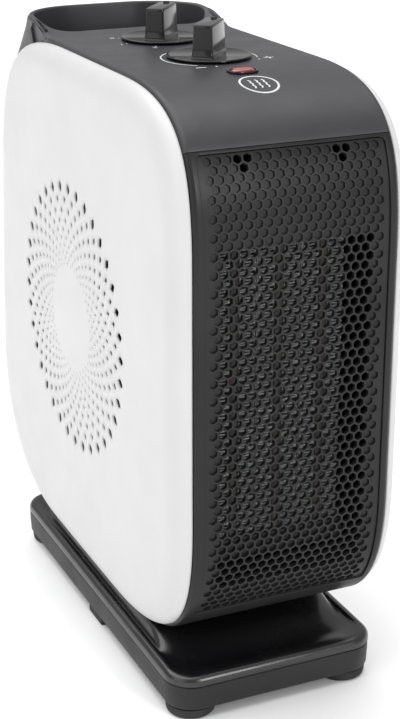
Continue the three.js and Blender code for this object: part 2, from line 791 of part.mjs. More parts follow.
function knob(y) {
  const radius = knobDiameter / 2;
  const skirt = turned([[0, knobSeat], [radius, knobSeat], [radius, knobGripFoot - 0.7],
    [radius - 0.7, knobGripFoot], [0, knobGripFoot]], 0, y, 32);
  const half = knobGripWidth / 2;
  const reach = knobGripLength / 2;
  const outline = new THREE.Shape();
  outline.moveTo(reach, -half);
  outline.lineTo(reach, half);
  outline.lineTo(-reach + half, half);
  outline.absarc(-reach + half, 0, half, Math.PI / 2, 1.5 * Math.PI);
  const grip = new THREE.ExtrudeGeometry(outline, {
    depth: knobGripHeight, bevelEnabled: false, curveSegments: 8,
  });
  grip.rotateZ(THREE.MathUtils.degToRad(knobTurn));
  grip.translate(0, y, knobGripFoot - 0.1);
  const bore = shaftDiameter / 2 + gap;
  return skirt.add(solid(grip))
    .subtract(barZ(bore, 0, y, knobSeat - 1, knobGripFoot + knobGripHeight / 2 + gap));
}

function controlShaft(y) {
  return barZ(shaftDiameter / 2, 0, y, undersideOfTop - shaftDrop,
    knobGripFoot + knobGripHeight / 2);
}

function switchBox(y) {
  const top = undersideOfTop - gap;
  const half = switchSide / 2;
  return box(-half, half, y - half, y + half, top - switchHeight, top)
    .subtract(barZ(shaftDiameter / 2 + runningGap, 0, y, undersideOfTop - shaftDrop - gap,
      top + 1));
}

function indicatorLens() {
  const low = undersideOfTop - 1;
  return alongZ(capsule(lensLength, lensWidth, -lensFromMiddle), low, bodyTop + lensRise, 5);
}

function indicatorLamp() {
  const top = undersideOfTop - 1 - gap;
  return turned([[0, top - lampLength], [lampDiameter / 2, top - lampLength],
    [lampDiameter / 2, top - 2], [1, top], [0, top]], 0, -lensFromMiddle, 16);
}

// ---------------------------------------------------------------------------
// Base
// ---------------------------------------------------------------------------

function basePlan(inset) {
  const half = baseWidth / 2 - inset;
  const radius = Math.max(baseCorner - inset, 2);
  return roundedRectangle(-half, half, baseFront + inset, baseBack - inset, radius);
}

function neckPlan(inset) {
  const half = baseWidth / 2 - neckInset - inset;
  const end = neckHalf - inset;
  return roundedRectangle(-half, half, swingY - end, swingY + end, neckRadius - inset);
}

function baseTray() {
  const screws = screwPlaces();
  let tray = alongZ(basePlan(0), footHeight, skirtTop)
    .subtract(alongZ(basePlan(skirtWall), footHeight + skirtWall, skirtTop + 1));
  for (const [x, y] of screws) {
    tray = tray.subtract(barZ(screwShank / 2 + gap, x, y, 0, skirtTop, 12));
  }
  return tray;
}

function baseLid() {
  const plateTop = lidBottom + lidPlate;
  const rimTopZ = lidBottom + lidRimHeight;
  const rim = alongZ(basePlan(0), lidBottom, rimTopZ)
    .subtract(alongZ(basePlan(lidRimWidth), plateTop, rimTopZ + 1));
  const slopeSteps = 3;
  let neck = null;
  for (let i = 0; i < slopeSteps; i += 1) {
    const share = (i + 1) / slopeSteps;
    const z1 = plateTop + (neckTop - plateTop) * share;
    const layer = alongZ(neckPlan(neckSlope * (i / slopeSteps)), lidBottom, z1);
    neck = neck ? neck.add(layer) : layer;
  }
  return rim.add(neck)
    .subtract(alongZ(neckPlan(neckSlope + lidPlate), lidBottom - 1, neckUnder))
    .subtract(barZ(spindleOuter + runningGap, 0, swingY, lidBottom, neckTop + 1, 32));
}

const footSpots = [
  ['foot_front_left', -1, 1],
  ['foot_front_right', 1, 1],
  ['foot_back_left', -1, -1],
  ['foot_back_right', 1, -1],
].map(([name, side, end]) => [
  name,
  side * (baseWidth / 2 - footInset),
  end > 0 ? baseFront + footInset : baseBack - footInset,
]);

function foot(x, y) {
  const radius = footDiameter / 2;
  return turned([[0, 0], [radius - 1, 0], [radius, 1], [radius, footHeight - gap],
    [0, footHeight - gap]], x, y, 28);
}

// A flat rest under the middle of each long side.
function sideRest(side) {
  const outer = baseWidth / 2 - sideRestInset;
  const x0 = side < 0 ? -outer : outer - sideRestWidth;
  return box(x0, x0 + sideRestWidth, swingY - sideRestLength / 2, swingY + sideRestLength / 2,
    0, footHeight - gap);
}

function screwPlaces() {
  const x = baseWidth / 2 - footInset;
  const inset = footInset + footDiameter;
  return [[-x, baseFront + inset], [x, baseFront + inset], [-x, baseBack - inset],
    [x, baseBack - inset]];
}

// A pan-head screw holds the tray to the lid.
function baseScrew(x, y) {
  const top = footHeight - gap;
  return turned([[0, top - 2], [screwHead / 2, top - 2], [screwHead / 2, top - 0.5],
    [screwShank / 2, top], [screwShank / 2, top + screwLength], [0, top + screwLength]],
  x, y, 12);
}

// ---------------------------------------------------------------------------
// Swing drive
// ---------------------------------------------------------------------------

function turntableRing() {
  return barZ(ringOuter, 0, swingY, neckTop + gap, bodyBottom - gap, 40)
    .subtract(barZ(ringInner, 0, swingY, neckTop, bodyBottom, 40));
}

function swivelSpindle() {
  const flangeLow = bodyBottom + wall + gap;
  const bottom = armBottom - retainerThickness - gap;
  return barZ(spindleFlange, 0, swingY, flangeLow, flangeLow + spindleFlangeThickness, 32)
    .add(barZ(spindleOuter, 0, swingY, bottom, flangeLow + 1, 32))
    .subtract(barZ(spindleBore, 0, swingY, bottom - 1,
      flangeLow + spindleFlangeThickness + 1, 24));
}

function swingArm() {
  const slotNear = crankCentre - crankThrow - crankPin - 1;
  const slotFar = crankCentre + crankThrow + crankPin + 1;
  const slotHalf = crankPin + gap;
  return barZ(armHub, 0, swingY, armBottom, armTop, 32)
    .add(box(-armWidth / 2, armWidth / 2, swingY, swingY + armReach,
      armBottom, armTop))
    .subtract(box(-slotHalf, slotHalf, swingY + slotNear, swingY + slotFar, armBottom - 1,
      armTop + 1))
    .subtract(barZ(spindleOuter + gap, 0, swingY, armBottom - 1, armTop + 1, 32));
}

function spindleRetainer() {
  const top = armBottom - gap;
  return barZ(armHub, 0, swingY, top - retainerThickness, top, 32)
    .subtract(barZ(spindleOuter + gap, 0, swingY, top - retainerThickness - 1, top + 1, 32));
}

function crankDisc() {
  return barZ(crankThrow + crankRim, 0, crankY, crankBottom, crankTop, 36)
    .add(barZ(crankPin, 0, crankY + crankThrow, crankBottom, crankPinTop, 16));
}

function swingMotor() {
  return barZ(swingMotorDiameter / 2, 0, crankY, swingMotorBottom, swingMotorTop, 32);
}

// ---------------------------------------------------------------------------
// Small parts
// ---------------------------------------------------------------------------

function cordGland() {
  const z = bodyBottom + glandHeight;
  const outside = glandSurface();
  return barY(glandDiameter / 2, glandFromMiddle, outside + gap, outside + gap + glandFlange, z)
    .add(barY(glandNeck / 2, glandFromMiddle, outside - wall - 3, outside + gap + 1, z))
    .subtract(barY(glandBore / 2, glandFromMiddle, outside - 20, outside + 20, z));
}

// The furthest back that the rear shell reaches behind the gland's flange.
function glandSurface() {
  const low = bodyBottom + glandHeight - glandDiameter / 2;
  const points = coreOutline(0).getPoints(60);
  let furthest = 0;
  for (const point of points) {
    if (point.y > low && point.y < low + glandDiameter) {
      furthest = Math.max(furthest, point.x);
    }
  }
  return furthest;
}

function thermalCutout() {
  const z = blockHigh + holderHeight + gap;
  const y = (blockFront + blockBack) / 2;
  return turned([[0, z], [cutoutDiameter / 2, z], [cutoutDiameter / 2, z + cutoutHeight / 2],
    [cutoutDiameter / 3, z + cutoutHeight], [0, z + cutoutHeight]], 0, y, 20);
}

function tipOverSwitch() {
  const z = bodyBottom + wall + gap;
  const x = -coreHalf + platePanel + 4;
  const y = swingY + spindleFlange + 3;
  return box(x, x + tipSwitch.x, y, y + tipSwitch.y, z, z + tipSwitch.z);
}

function terminalBlock() {
  const z = bodyBottom + glandHeight;
  const y = glandSurface() - 30;
  const x = coreHalf - platePanel - 3;
  return box(x - terminal.x, x, y - terminal.y, y, z - terminal.z / 2, z + terminal.z / 2);
}

// ---------------------------------------------------------------------------
// Assembly
// ---------------------------------------------------------------------------

const heater = new THREE.Group();

function add(name, body, material) {
  const mesh = new THREE.Mesh(geometryOf(body), material);
  mesh.name = name;
  heater.add(mesh);
}

add('base_tray', baseTray(), skirtGrey);
add('base_lid', baseLid(), baseBlack);
for (const [name, x, y] of footSpots) {
  add(name, foot(x, y), softRubber);
}
add('side_rest_left', sideRest(-1), softRubber);
add('side_rest_right', sideRest(1), softRubber);
screwPlaces().forEach(([x, y], i) => add(`base_screw_${i + 1}`, baseScrew(x, y), steel));
add('turntable_ring', turntableRing(), heatPlastic);
add('swing_motor', swingMotor(), steel);
add('crank_disc', crankDisc(), heatPlastic);

add('swivel_spindle', swivelSpindle(), innerPlastic);
add('swing_arm', swingArm(), steel);
add('spindle_retainer', spindleRetainer(), innerPlastic);

add('rear_shell', rearShell(), grilleGrey);
add('front_frame', frontFrame(), grilleGrey);
add('front_grille', frontGrille(), grilleGrey);
add('top_cover', topCover(), coverGrey);
add('side_plate_left', sidePlate(-1), innerPlastic);
add('side_plate_right', sidePlate(1), innerPlastic);
add('side_cover_left', sideCover(-1), coverWhite);
add('side_cover_right', sideCover(1), coverWhite);

add('blower_housing_left', blowerHousing(-1), innerPlastic);
add('blower_housing_right', blowerHousing(1), innerPlastic);
add('outlet_duct', outletDuct(), innerPlastic);
add('impeller', impeller(), innerPlastic);
add('motor_rotor', motorRotor(), steel);
add('motor_stator', motorStator(), steel);
add('motor_coil', motorCoil(), copper);
add('motor_bracket_inner', motorBracket(bracketInner), bareAluminium);
add('motor_bracket_outer', motorBracket(bracketOuter), bareAluminium);

heatingBlock(add);
add('ptc_holder_bottom', blockHolder(blockLow - holderHeight, blockLow + holderOverlap,
  blockLow - gap, blockLow + holderOverlap + 1), heatPlastic);
add('ptc_holder_top', blockHolder(blockHigh - holderOverlap, blockHigh + holderHeight,
  blockHigh - holderOverlap - 1, blockHigh + gap), heatPlastic);
add('thermal_cutout', thermalCutout(), steel);

add('thermostat', switchBox(frontKnobY), innerPlastic);
add('mode_switch', switchBox(backKnobY), innerPlastic);
add('thermostat_shaft', controlShaft(frontKnobY), steel);
add('mode_switch_shaft', controlShaft(backKnobY), steel);
add('thermostat_knob', knob(frontKnobY), glossBlack);
add('mode_knob', knob(backKnobY), glossBlack);
add('indicator_lens', indicatorLens(), lensRed);
add('indicator_lamp', indicatorLamp(), paleGlass);

add('cord_gland', cordGland(), softRubber);
add('terminal_block', terminalBlock(), heatPlastic);
add('tip_over_switch', tipOverSwitch(), innerPlastic);

export default heater;
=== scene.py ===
# Ceramic space heater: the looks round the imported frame. Metres, +Z up, grille towards -Y.

import bisect
import json
import math

import numpy as np

import bmesh
import bpy
from mathutils import Matrix, Vector


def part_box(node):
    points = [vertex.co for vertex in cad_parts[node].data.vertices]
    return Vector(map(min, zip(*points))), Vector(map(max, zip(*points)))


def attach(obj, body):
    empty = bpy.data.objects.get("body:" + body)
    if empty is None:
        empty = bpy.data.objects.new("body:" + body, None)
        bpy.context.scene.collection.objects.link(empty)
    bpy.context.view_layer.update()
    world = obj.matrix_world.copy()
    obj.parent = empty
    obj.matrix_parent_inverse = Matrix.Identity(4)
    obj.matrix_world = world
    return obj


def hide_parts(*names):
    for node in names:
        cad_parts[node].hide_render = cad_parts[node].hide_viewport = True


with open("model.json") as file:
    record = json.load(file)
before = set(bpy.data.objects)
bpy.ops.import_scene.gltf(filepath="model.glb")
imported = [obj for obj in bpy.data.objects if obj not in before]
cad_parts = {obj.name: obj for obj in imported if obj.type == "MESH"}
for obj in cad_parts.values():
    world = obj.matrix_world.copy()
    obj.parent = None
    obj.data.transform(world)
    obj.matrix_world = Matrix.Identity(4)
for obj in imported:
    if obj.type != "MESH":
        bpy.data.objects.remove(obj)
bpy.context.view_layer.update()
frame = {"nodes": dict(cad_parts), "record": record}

MM = 0.001
TURN = 2 * math.pi

# ---------------------------------------------------------------------------
# Sizes shared by several pieces
# ---------------------------------------------------------------------------

cover_low, cover_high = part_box("side_cover_left")
core_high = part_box("top_cover")[1]
lid_low, lid_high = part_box("base_lid")
tray_low, tray_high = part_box("base_tray")
grille_low, grille_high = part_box("front_grille")
frame_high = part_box("front_frame")[1]
shell_low, shell_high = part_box("rear_shell")
fan_low, fan_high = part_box("impeller")

FRONT = cover_low.y
BOTTOM = cover_low.z
TOP = cover_high.z
CORE_HALF = core_high.x
RIM_TOP = core_high.z
COVER_IN = -cover_high.x
COVER_OUT = -cover_low.x
FAN = (fan_low + fan_high) / 2

# The body's outline, seen from the side. A corner's three numbers are its length along the
# bottom or top, its length up the front or back, and how full its round is.
BACK_FOOT = FRONT + 262.6 * MM
BACK_LEAN = 0.109
FRONT_BOTTOM = (83.7 * MM, 72.6 * MM, 0.71)
FRONT_TOP = (71.7 * MM, 69.4 * MM, 0.757)
BACK_TOP = (85.5 * MM, 69.4 * MM, 0.78)
BACK_BOTTOM = (90.9 * MM, 88.6 * MM, 0.6)
RISE = 66 * MM
RIM_ROUND = 4 * MM
RIM_FULLNESS = 0.6

# Across the body: the core's side edges, and the rear corners of its handle in plan.
EDGE_ROUND = 2.4 * MM
PLAN_ROUND = 34 * MM
PLAN_FADE = 34 * MM
PLAN_START = 20 * MM
PLAN_RUN = 80 * MM
SHEET = 1.9 * MM

# Vertices closer together than this are made one, or lie on a cut that passes so near.
WELD_PROFILE = 0.002 * MM
WELD_PIECE = 0.004 * MM
WELD_CUT = 0.01 * MM
WELD_ROSETTE = 0.02 * MM


def back_line(z):
    return BACK_FOOT - BACK_LEAN * (z - BOTTOM)


# ---------------------------------------------------------------------------
# Materials
# ---------------------------------------------------------------------------

class Shader:
    """A principled material with a few helpers for procedural detail."""

    def __init__(self, name, color, roughness, metallic=0.0):
        self.material = bpy.data.materials.new(name)
        self.material.use_nodes = True
        self.tree = self.material.node_tree
        self.bsdf = self.tree.nodes["Principled BSDF"]
        self.color = (*color, 1.0)
        self.bsdf.inputs["Base Color"].default_value = self.color
        self.bsdf.inputs["Roughness"].default_value = roughness
        self.bsdf.inputs["Metallic"].default_value = metallic
        self.coords = self.tree.nodes.new("ShaderNodeTexCoord")
        self.bump_node = None

    def noise(self, scale, detail=3.0, stretch=(1, 1, 1)):
        mapping = self.tree.nodes.new("ShaderNodeMapping")
        mapping.inputs["Scale"].default_value = stretch
        node = self.tree.nodes.new("ShaderNodeTexNoise")
        node.inputs["Scale"].default_value = scale
        node.inputs["Detail"].default_value = detail
        self.tree.links.new(self.coords.outputs["Object"], mapping.inputs["Vector"])
        self.tree.links.new(mapping.outputs["Vector"], node.inputs["Vector"])
        return node.outputs["Fac"]

    def spread(self, value, low, high):
        node = self.tree.nodes.new("ShaderNodeMapRange")
        node.inputs["From Min"].default_value = 0.3
        node.inputs["From Max"].default_value = 0.7
        node.inputs["To Min"].default_value = low
        node.inputs["To Max"].default_value = high
        self.tree.links.new(value, node.inputs["Value"])
        return node.outputs["Result"]

    def tint(self, value, other, strength=1.0):
        """Varies the colour from the base towards another by a texture."""
        mix = self.tree.nodes.new("ShaderNodeMix")
        mix.data_type = "RGBA"
        mix.inputs["A"].default_value = self.color
        mix.inputs["B"].default_value = (*other, 1.0)
        self.tree.links.new(self.spread(value, 0.0, strength), mix.inputs["Factor"])
        self.tree.links.new(mix.outputs["Result"], self.bsdf.inputs["Base Color"])

    def rough(self, value, low, high):
        self.tree.links.new(self.spread(value, low, high), self.bsdf.inputs["Roughness"])

    def bump(self, value, depth):
        node = self.tree.nodes.new("ShaderNodeBump")
        node.inputs["Distance"].default_value = depth
        node.inputs["Strength"].default_value = 1.0
        self.tree.links.new(value, node.inputs["Height"])
        if self.bump_node:
            self.tree.links.new(self.bump_node.outputs["Normal"], node.inputs["Normal"])
        self.tree.links.new(node.outputs["Normal"], self.bsdf.inputs["Normal"])
        self.bump_node = node


def moulded(name, color, roughness, grain, sheen_tint, depth=0.00002, specular=0.4):
    """Moulded plastic: spark-eroded grain, faint flow marks and uneven gloss."""
    shader = Shader(name, color, roughness)
    shader.bsdf.inputs["Specular IOR Level"].default_value = specular
    shader.tint(shader.noise(18, 4), sheen_tint)
    shader.rough(shader.noise(60, 5), roughness - 0.05, roughness + 0.07)
    shader.bump(shader.noise(grain, 2), depth)
    shader.bump(shader.noise(40, 2), depth * 2)
    return shader.material


def polished(name, color, other):
    """Hard gloss plastic with faint polishing waves and a few handling smears."""
    shader = Shader(name, color, 0.12)
    shader.bsdf.inputs["Coat Weight"].default_value = 0.15
    shader.bsdf.inputs["Coat Roughness"].default_value = 0.03
    shader.bsdf.inputs["Specular IOR Level"].default_value = 0.3
    shader.tint(shader.noise(30, 3), other)
    shader.rough(shader.noise(90, 6), 0.1, 0.22)
    shader.bump(shader.noise(120, 2), 0.000012)
    return shader.material


def metal(name, color, roughness, stretch):
    shader = Shader(name, color, roughness, 1.0)
    lines = shader.noise(220, 4, stretch)
    shader.tint(lines, tuple(c * 0.75 for c in color))
    shader.rough(lines, roughness - 0.08, roughness + 0.12)
    shader.bump(lines, 0.00002)
    return shader.material


def rubber():
    shader = Shader("foot_rubber_finish", (0.012, 0.012, 0.013), 0.75)
    shader.tint(shader.noise(70, 4), (0.022, 0.022, 0.022))
    shader.rough(shader.noise(150, 4), 0.62, 0.85)
    shader.bump(shader.noise(1500, 3), 0.00004)
    return shader.material


def ceramic():
    """Ceramic tiles in a varnished sleeve: mottled dark brown with a satin coat."""
    shader = Shader("ptc_ceramic_finish", (0.035, 0.03, 0.027), 0.5)
    shader.tint(shader.noise(300, 5, (1, 1, 0.2)), (0.075, 0.06, 0.05))
    shader.rough(shader.noise(200, 3), 0.35, 0.65)
    shader.bump(shader.noise(500, 3), 0.00005)
    return shader.material


def red_lens():
    shader = Shader("lens_red_finish", (0.4, 0.006, 0.01), 0.15)
    shader.bsdf.inputs["Coat Weight"].default_value = 0.8
    shader.bsdf.inputs["Emission Color"].default_value = (0.9, 0.05, 0.04, 1)
    shader.bsdf.inputs["Emission Strength"].default_value = 0.03
    shader.tint(shader.noise(400, 2), (0.25, 0.004, 0.008))
    shader.bump(shader.noise(900, 2), 0.00003)
    return shader.material


def lamp_glass():
    shader = Shader("lamp_glass_finish", (0.8, 0.6, 0.4), 0.1)
    shader.bsdf.inputs["Transmission Weight"].default_value = 0.6
    shader.tint(shader.noise(200, 2), (0.7, 0.45, 0.25))
    return shader.material


FINISH = {
    "cover_white": moulded("cover_white_finish", (0.59, 0.59, 0.59), 0.36, 1400,
                           (0.565, 0.565, 0.565), 0.00001),
    "top_grey": moulded("top_grey_finish", (0.032, 0.032, 0.036), 0.4, 1500,
                        (0.038, 0.038, 0.042)),
    "grille_grey": moulded("grille_grey_finish", (0.014, 0.014, 0.015), 0.36, 1600,
                           (0.02, 0.02, 0.021), specular=0.22),
    "knob_black": polished("knob_black_finish", (0.006, 0.006, 0.007), (0.01, 0.01, 0.011)),
    "base_black": moulded("base_black_finish", (0.007, 0.007, 0.008), 0.24, 1200,
                          (0.01, 0.01, 0.011), 0.000008, 0.7),
    "skirt_grey": moulded("skirt_grey_finish", (0.009, 0.009, 0.01), 0.5, 1500,
                          (0.013, 0.013, 0.014)),
    "foot_rubber": rubber(),
    "inner_plastic": moulded("inner_plastic_finish", (0.006, 0.006, 0.007), 0.6, 900,
                             (0.01, 0.01, 0.01)),
    "heat_plastic": moulded("heat_plastic_finish", (0.04, 0.037, 0.033), 0.55, 900,
                            (0.032, 0.03, 0.027)),
    "fin_aluminium": metal("fin_aluminium_finish", (0.22, 0.22, 0.22), 0.45, (1, 1, 0.15)),
    "ptc_ceramic": ceramic(),
    "steel": metal("steel_finish", (0.5, 0.5, 0.51), 0.35, (0.2, 1, 1)),
    "copper": metal("copper_finish", (0.55, 0.22, 0.09), 0.35, (1, 0.1, 1)),
    "lens_red": red_lens(),
    "lamp_glass": lamp_glass(),
}
# Near-white finish for the fins' front edges: a painted highlight where the edges catch the
# light.
FIN_EDGE_HIGHLIGHT = moulded("fin_edge_highlight_finish", (0.95, 0.95, 0.94), 0.35, 700,
                   (0.6, 0.6, 0.6), 0.00001)
PRINT_WHITE = moulded("print_white_finish", (0.72, 0.73, 0.74), 0.45, 1500,
                      (0.66, 0.67, 0.68), 0.00001)


# ---------------------------------------------------------------------------
# Mesh helpers
# ---------------------------------------------------------------------------


def finish_mesh(name, bm, material, sharp=35):
    mesh = bpy.data.meshes.new(name)
    bm.to_mesh(mesh)
    bm.free()
    mesh.shade_smooth()
    mesh.set_sharp_from_angle(angle=math.radians(sharp))
    mesh.materials.append(material)
    obj = bpy.data.objects.new(name, mesh)
    bpy.context.scene.collection.objects.link(obj)
    return obj


def piece(name, bm, body, slot, replaces=(), material=None, sharp=35, inside=None):
    """Makes the finished object from a bmesh. An open sheet is turned to face away from
    the point `inside`, and a closed shape needs no such point."""
    bmesh.ops.remove_doubles(bm, verts=bm.verts[:], dist=WELD_PIECE)
    bmesh.ops.recalc_face_normals(bm, faces=bm.faces[:])
    if inside is not None:
        bm.normal_update()
        facing = sum(f.normal.dot(f.calc_center_median() - inside) * f.calc_area()
                     for f in bm.faces)
        if facing < 0:
            bmesh.ops.reverse_faces(bm, faces=bm.faces[:])
    obj = finish_mesh(name, bm, material or FINISH[slot], sharp)
    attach(obj, body)
    if replaces:
        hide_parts(*replaces)
    return obj


def thicken(obj, thickness):
    """Gives a sheet its wall, grown away from the side that shows."""
    modifier = obj.modifiers.new("wall", "SOLIDIFY")
    modifier.thickness = thickness
    modifier.offset = -1
    return obj


def soften(obj, width, segments=2, angle=50):
    """Rounds the sharp edges."""
    modifier = obj.modifiers.new("edge", "BEVEL")
    modifier.width = width
    modifier.segments = segments
    modifier.limit_method = "ANGLE"
    modifier.angle_limit = math.radians(angle)
    modifier.use_clamp_overlap = True
    return obj


def loop_of(bm, points):
    """A closed ring of edges through the points."""
    verts = [bm.verts.new(p) for p in points]
    return [bm.edges.new((a, b)) for a, b in zip(verts, verts[1:] + verts[:1])]


def loft(bm, rings, cap_start=False, cap_end=False):
    """Extrudes the first ring of points to each of the next, and closes the ends if asked."""
    first = edges = loop_of(bm, rings[0])
    for ring, target in zip(rings, rings[1:]):
        places = {tuple(p): q for p, q in zip(ring, target)}
        edges = grow_edges(bm, edges, lambda co: places[tuple(co)])
    if cap_start:
        bmesh.ops.contextual_create(bm, geom=first)
    if cap_end:
        bmesh.ops.contextual_create(bm, geom=edges)
    return edges


def grow_edges(bm, edges, move):
    """Extrudes open edges and puts each new vertex where move(old place) says."""
    out = bmesh.ops.extrude_edge_only(bm, edges=edges)["geom"]
    for v in out:
        if isinstance(v, bmesh.types.BMVert):
            v.co = move(v.co)
    return [e for e in out if isinstance(e, bmesh.types.BMEdge)]


def open_edges(bm, test):
    """The edges with one face, where both ends pass a test."""
    return [e for e in bm.edges if e.is_boundary and all(test(v.co) for v in e.verts)]


def cut_across(bm, place, normal):
    bmesh.ops.bisect_plane(bm, geom=bm.verts[:] + bm.edges[:] + bm.faces[:],
                           plane_co=place, plane_no=normal, dist=WELD_CUT)


def rounded_ring(half_x, y0, y1, radius, z, steps=8, rear=None):
    """A rounded rectangle at a height, as a ring of points. The corners at y1 may differ."""
    radii = [rear or radius] * 2 + [radius] * 2
    sides = [1, -1, -1, 1]
    points = []
    for quarter, (r, side) in enumerate(zip(radii, sides)):
        cx = side * (half_x - r)
        cy = y1 - r if quarter < 2 else y0 + r
        for i in range(steps + 1):
            angle = (quarter + i / steps) * TURN / 4
            points.append(Vector((cx + r * math.cos(angle), cy + r * math.sin(angle), z)))
    return points


AXES = {
    "Z": Matrix(),
    "X": Matrix.Rotation(TURN / 4, 4, "Y"),
    "Y": Matrix.Rotation(-TURN / 4, 4, "X"),
}


def turned(profile, centre, axis="Z", steps=48):
    """Spins a (radius, height) profile about an axis through a centre."""
    bm = bmesh.new()
    verts = [bm.verts.new((r, 0, h)) for r, h in profile]
    edges = [bm.edges.new(pair) for pair in zip(verts, verts[1:])]
    bmesh.ops.spin(bm, geom=verts + edges, cent=(0, 0, 0), axis=(0, 0, 1), angle=TURN,
                   steps=steps, use_merge=True)
    bmesh.ops.remove_doubles(bm, verts=bm.verts[:], dist=WELD_PROFILE)
    bmesh.ops.transform(bm, matrix=Matrix.Translation(centre) @ AXES[axis], verts=bm.verts[:])
    return bm


def arc(cx, cz, radius, start, end, steps):
    """Points of a round, in degrees, for a turned profile."""
    angles = [math.radians(start + (end - start) * i / steps) for i in range(steps + 1)]
    return [(cx + radius * math.cos(a), cz + radius * math.sin(a)) for a in angles]


def block(low, high):
    """A box between two corners."""
    bm = bmesh.new()
    bmesh.ops.create_cube(bm, size=1)
    bmesh.ops.scale(bm, vec=high - low, verts=bm.verts[:])
    bmesh.ops.translate(bm, vec=(low + high) / 2, verts=bm.verts[:])
    return bm


# ---------------------------------------------------------------------------
# Outlines of the body
# ---------------------------------------------------------------------------


def corner(start, point, end, fullness, steps):
    """A round from start to end inside the square corner at point."""
    return curve(start, start.lerp(point, fullness), end.lerp(point, fullness), end, steps)


def curve(start, first, second, end, steps):
    """A Bezier curve's points, without its start."""
    points = []
    for i in range(1, steps + 1):
        t = i / steps
        u = 1 - t
        points.append(u ** 3 * start + 3 * u * u * t * first + 3 * u * t * t * second
                      + t ** 3 * end)
    return points


def straight(start, end, steps):
    return [start.lerp(end, (i + 1) / steps) for i in range(steps)]


def lower_outline(inset, steps):
    """From the middle of the bottom, round the front and up to the top's front round."""
    bottom = BOTTOM + inset
    front = FRONT + inset
    low = Vector((FRONT + FRONT_BOTTOM[0], bottom))
    up = Vector((front, BOTTOM + FRONT_BOTTOM[1]))
    high = Vector((front, TOP - FRONT_TOP[1]))
    over = Vector((FRONT + FRONT_TOP[0], TOP - inset))
    points = [Vector((0, bottom))]
    points += straight(points[0], low, 6)
    points += corner(low, Vector((front, bottom)), up, FRONT_BOTTOM[2], steps)
    points += straight(up, high, steps // 2)
    points += corner(high, Vector((front, TOP - inset)), over, FRONT_TOP[2], steps)
    return points


def back_outline(inset, steps, start_z):
    """Down the leaning back from a height, and round the bottom to its middle."""
    bottom = BOTTOM + inset
    start = Vector((back_line(start_z) - inset, start_z))
    turn_z = BOTTOM + BACK_BOTTOM[1]
    turn = Vector((back_line(turn_z) - inset, turn_z))
    square = Vector((back_line(bottom) - inset, bottom))
    end = Vector((back_line(BOTTOM) - BACK_BOTTOM[0], bottom))
    points = straight(start, turn, steps // 2)
    points += corner(turn, square, end, BACK_BOTTOM[2], steps)
    points += straight(end, Vector((0, bottom)), 6)
    return points[:-1]


def cover_outline(inset, steps=40):
    """A side cover's outline, set in from its widest by inset."""
    top = TOP - inset
    start = Vector((back_line(TOP) - BACK_TOP[0], top))
    end_z = TOP - BACK_TOP[1]
    end = Vector((back_line(end_z) - inset, end_z))
    points = lower_outline(inset, steps)
    points += straight(points[-1], start, steps // 3)
    points += corner(start, Vector((back_line(top) - inset, top)), end, BACK_TOP[2], steps)
    return points + back_outline(inset, steps, end_z)


def core_outline(steps=40):
    """The outline between the covers, which rises behind to the handle's rim."""
    rise = Vector((back_line(RIM_TOP) - RISE, TOP))
    crest = Vector((back_line(RIM_TOP) - RIM_ROUND, RIM_TOP))
    shoulder_z = RIM_TOP - RIM_ROUND
    shoulder = Vector((back_line(shoulder_z), shoulder_z))
    points = lower_outline(0, steps)
    points += straight(points[-1], rise, steps // 2)
    points += curve(rise, rise + Vector((RISE / 2, 0)), crest - Vector((RISE / 4, 0)), crest,
                    steps)
    points += corner(crest, Vector((back_line(RIM_TOP), RIM_TOP)), shoulder, RIM_FULLNESS, 8)
    return points + back_outline(0, steps, shoulder_z)


class Wrap:
    """The core's outline unrolled: s runs along it from the bottom's middle, front first."""

    def __init__(self):
        self.points = core_outline()
        self.points.append(self.points[0])
        self.lengths = [0.0]
        for a, b in zip(self.points, self.points[1:]):
            self.lengths.append(self.lengths[-1] + (b - a).length)
        self.total = self.lengths[-1]
        heights = [p.y for p in self.points]
        self.summit = heights.index(max(heights))

    def place(self, s):
        """The (y, z) place at s."""
        s = s % self.total
        i = min(max(bisect.bisect_right(self.lengths, s) - 1, 0), len(self.points) - 2)
        span = self.lengths[i + 1] - self.lengths[i]
        return self.points[i].lerp(self.points[i + 1], (s - self.lengths[i]) / span)

    def outward(self, s):
        """The direction square to the outline at s, away from the body."""
        step = 1.5 * MM
        tangent = (self.place(s + step) - self.place(s - step)).normalized()
        return Vector((-tangent.y, tangent.x))

    def find(self, test, first, last):
        """The first s, from one outline point to another, where the place passes a test."""
        i = next(i for i in range(first, last) if test(self.points[i + 1]))
        before, after = self.lengths[i], self.lengths[i + 1]
        for _ in range(30):
            middle = (before + after) / 2
            if test(self.place(middle)):
                after = middle
            else:
                before = middle
        return after

    # Where the band passes a height, at the front or back, or a depth, on top or below.
    def front_at(self, z):
        return self.find(lambda p: p.y >= z, 0, self.summit)

    def top_at(self, y):
        return self.find(lambda p: p.x >= y and p.y > FAN.z, 0, self.summit + 9)

    def back_at(self, z):
        return self.find(lambda p: p.y <= z, self.summit, len(self.points) - 1)

    def bottom_at(self, y):
        return self.find(lambda p: p.x <= y, 0, self.summit)


wrap = Wrap()


def ease(t):
    """A smooth step from 0 to 1."""
    t = min(max(t, 0.0), 1.0)
    return t * t * (3 - 2 * t)


def rounded_off(x, radius):
    """How far a round of this radius has dropped at x, near the core's side."""
    over = min(max(abs(x) - (CORE_HALF - radius), 0), radius)
    return radius - math.sqrt(max(radius * radius - over * over, 0))


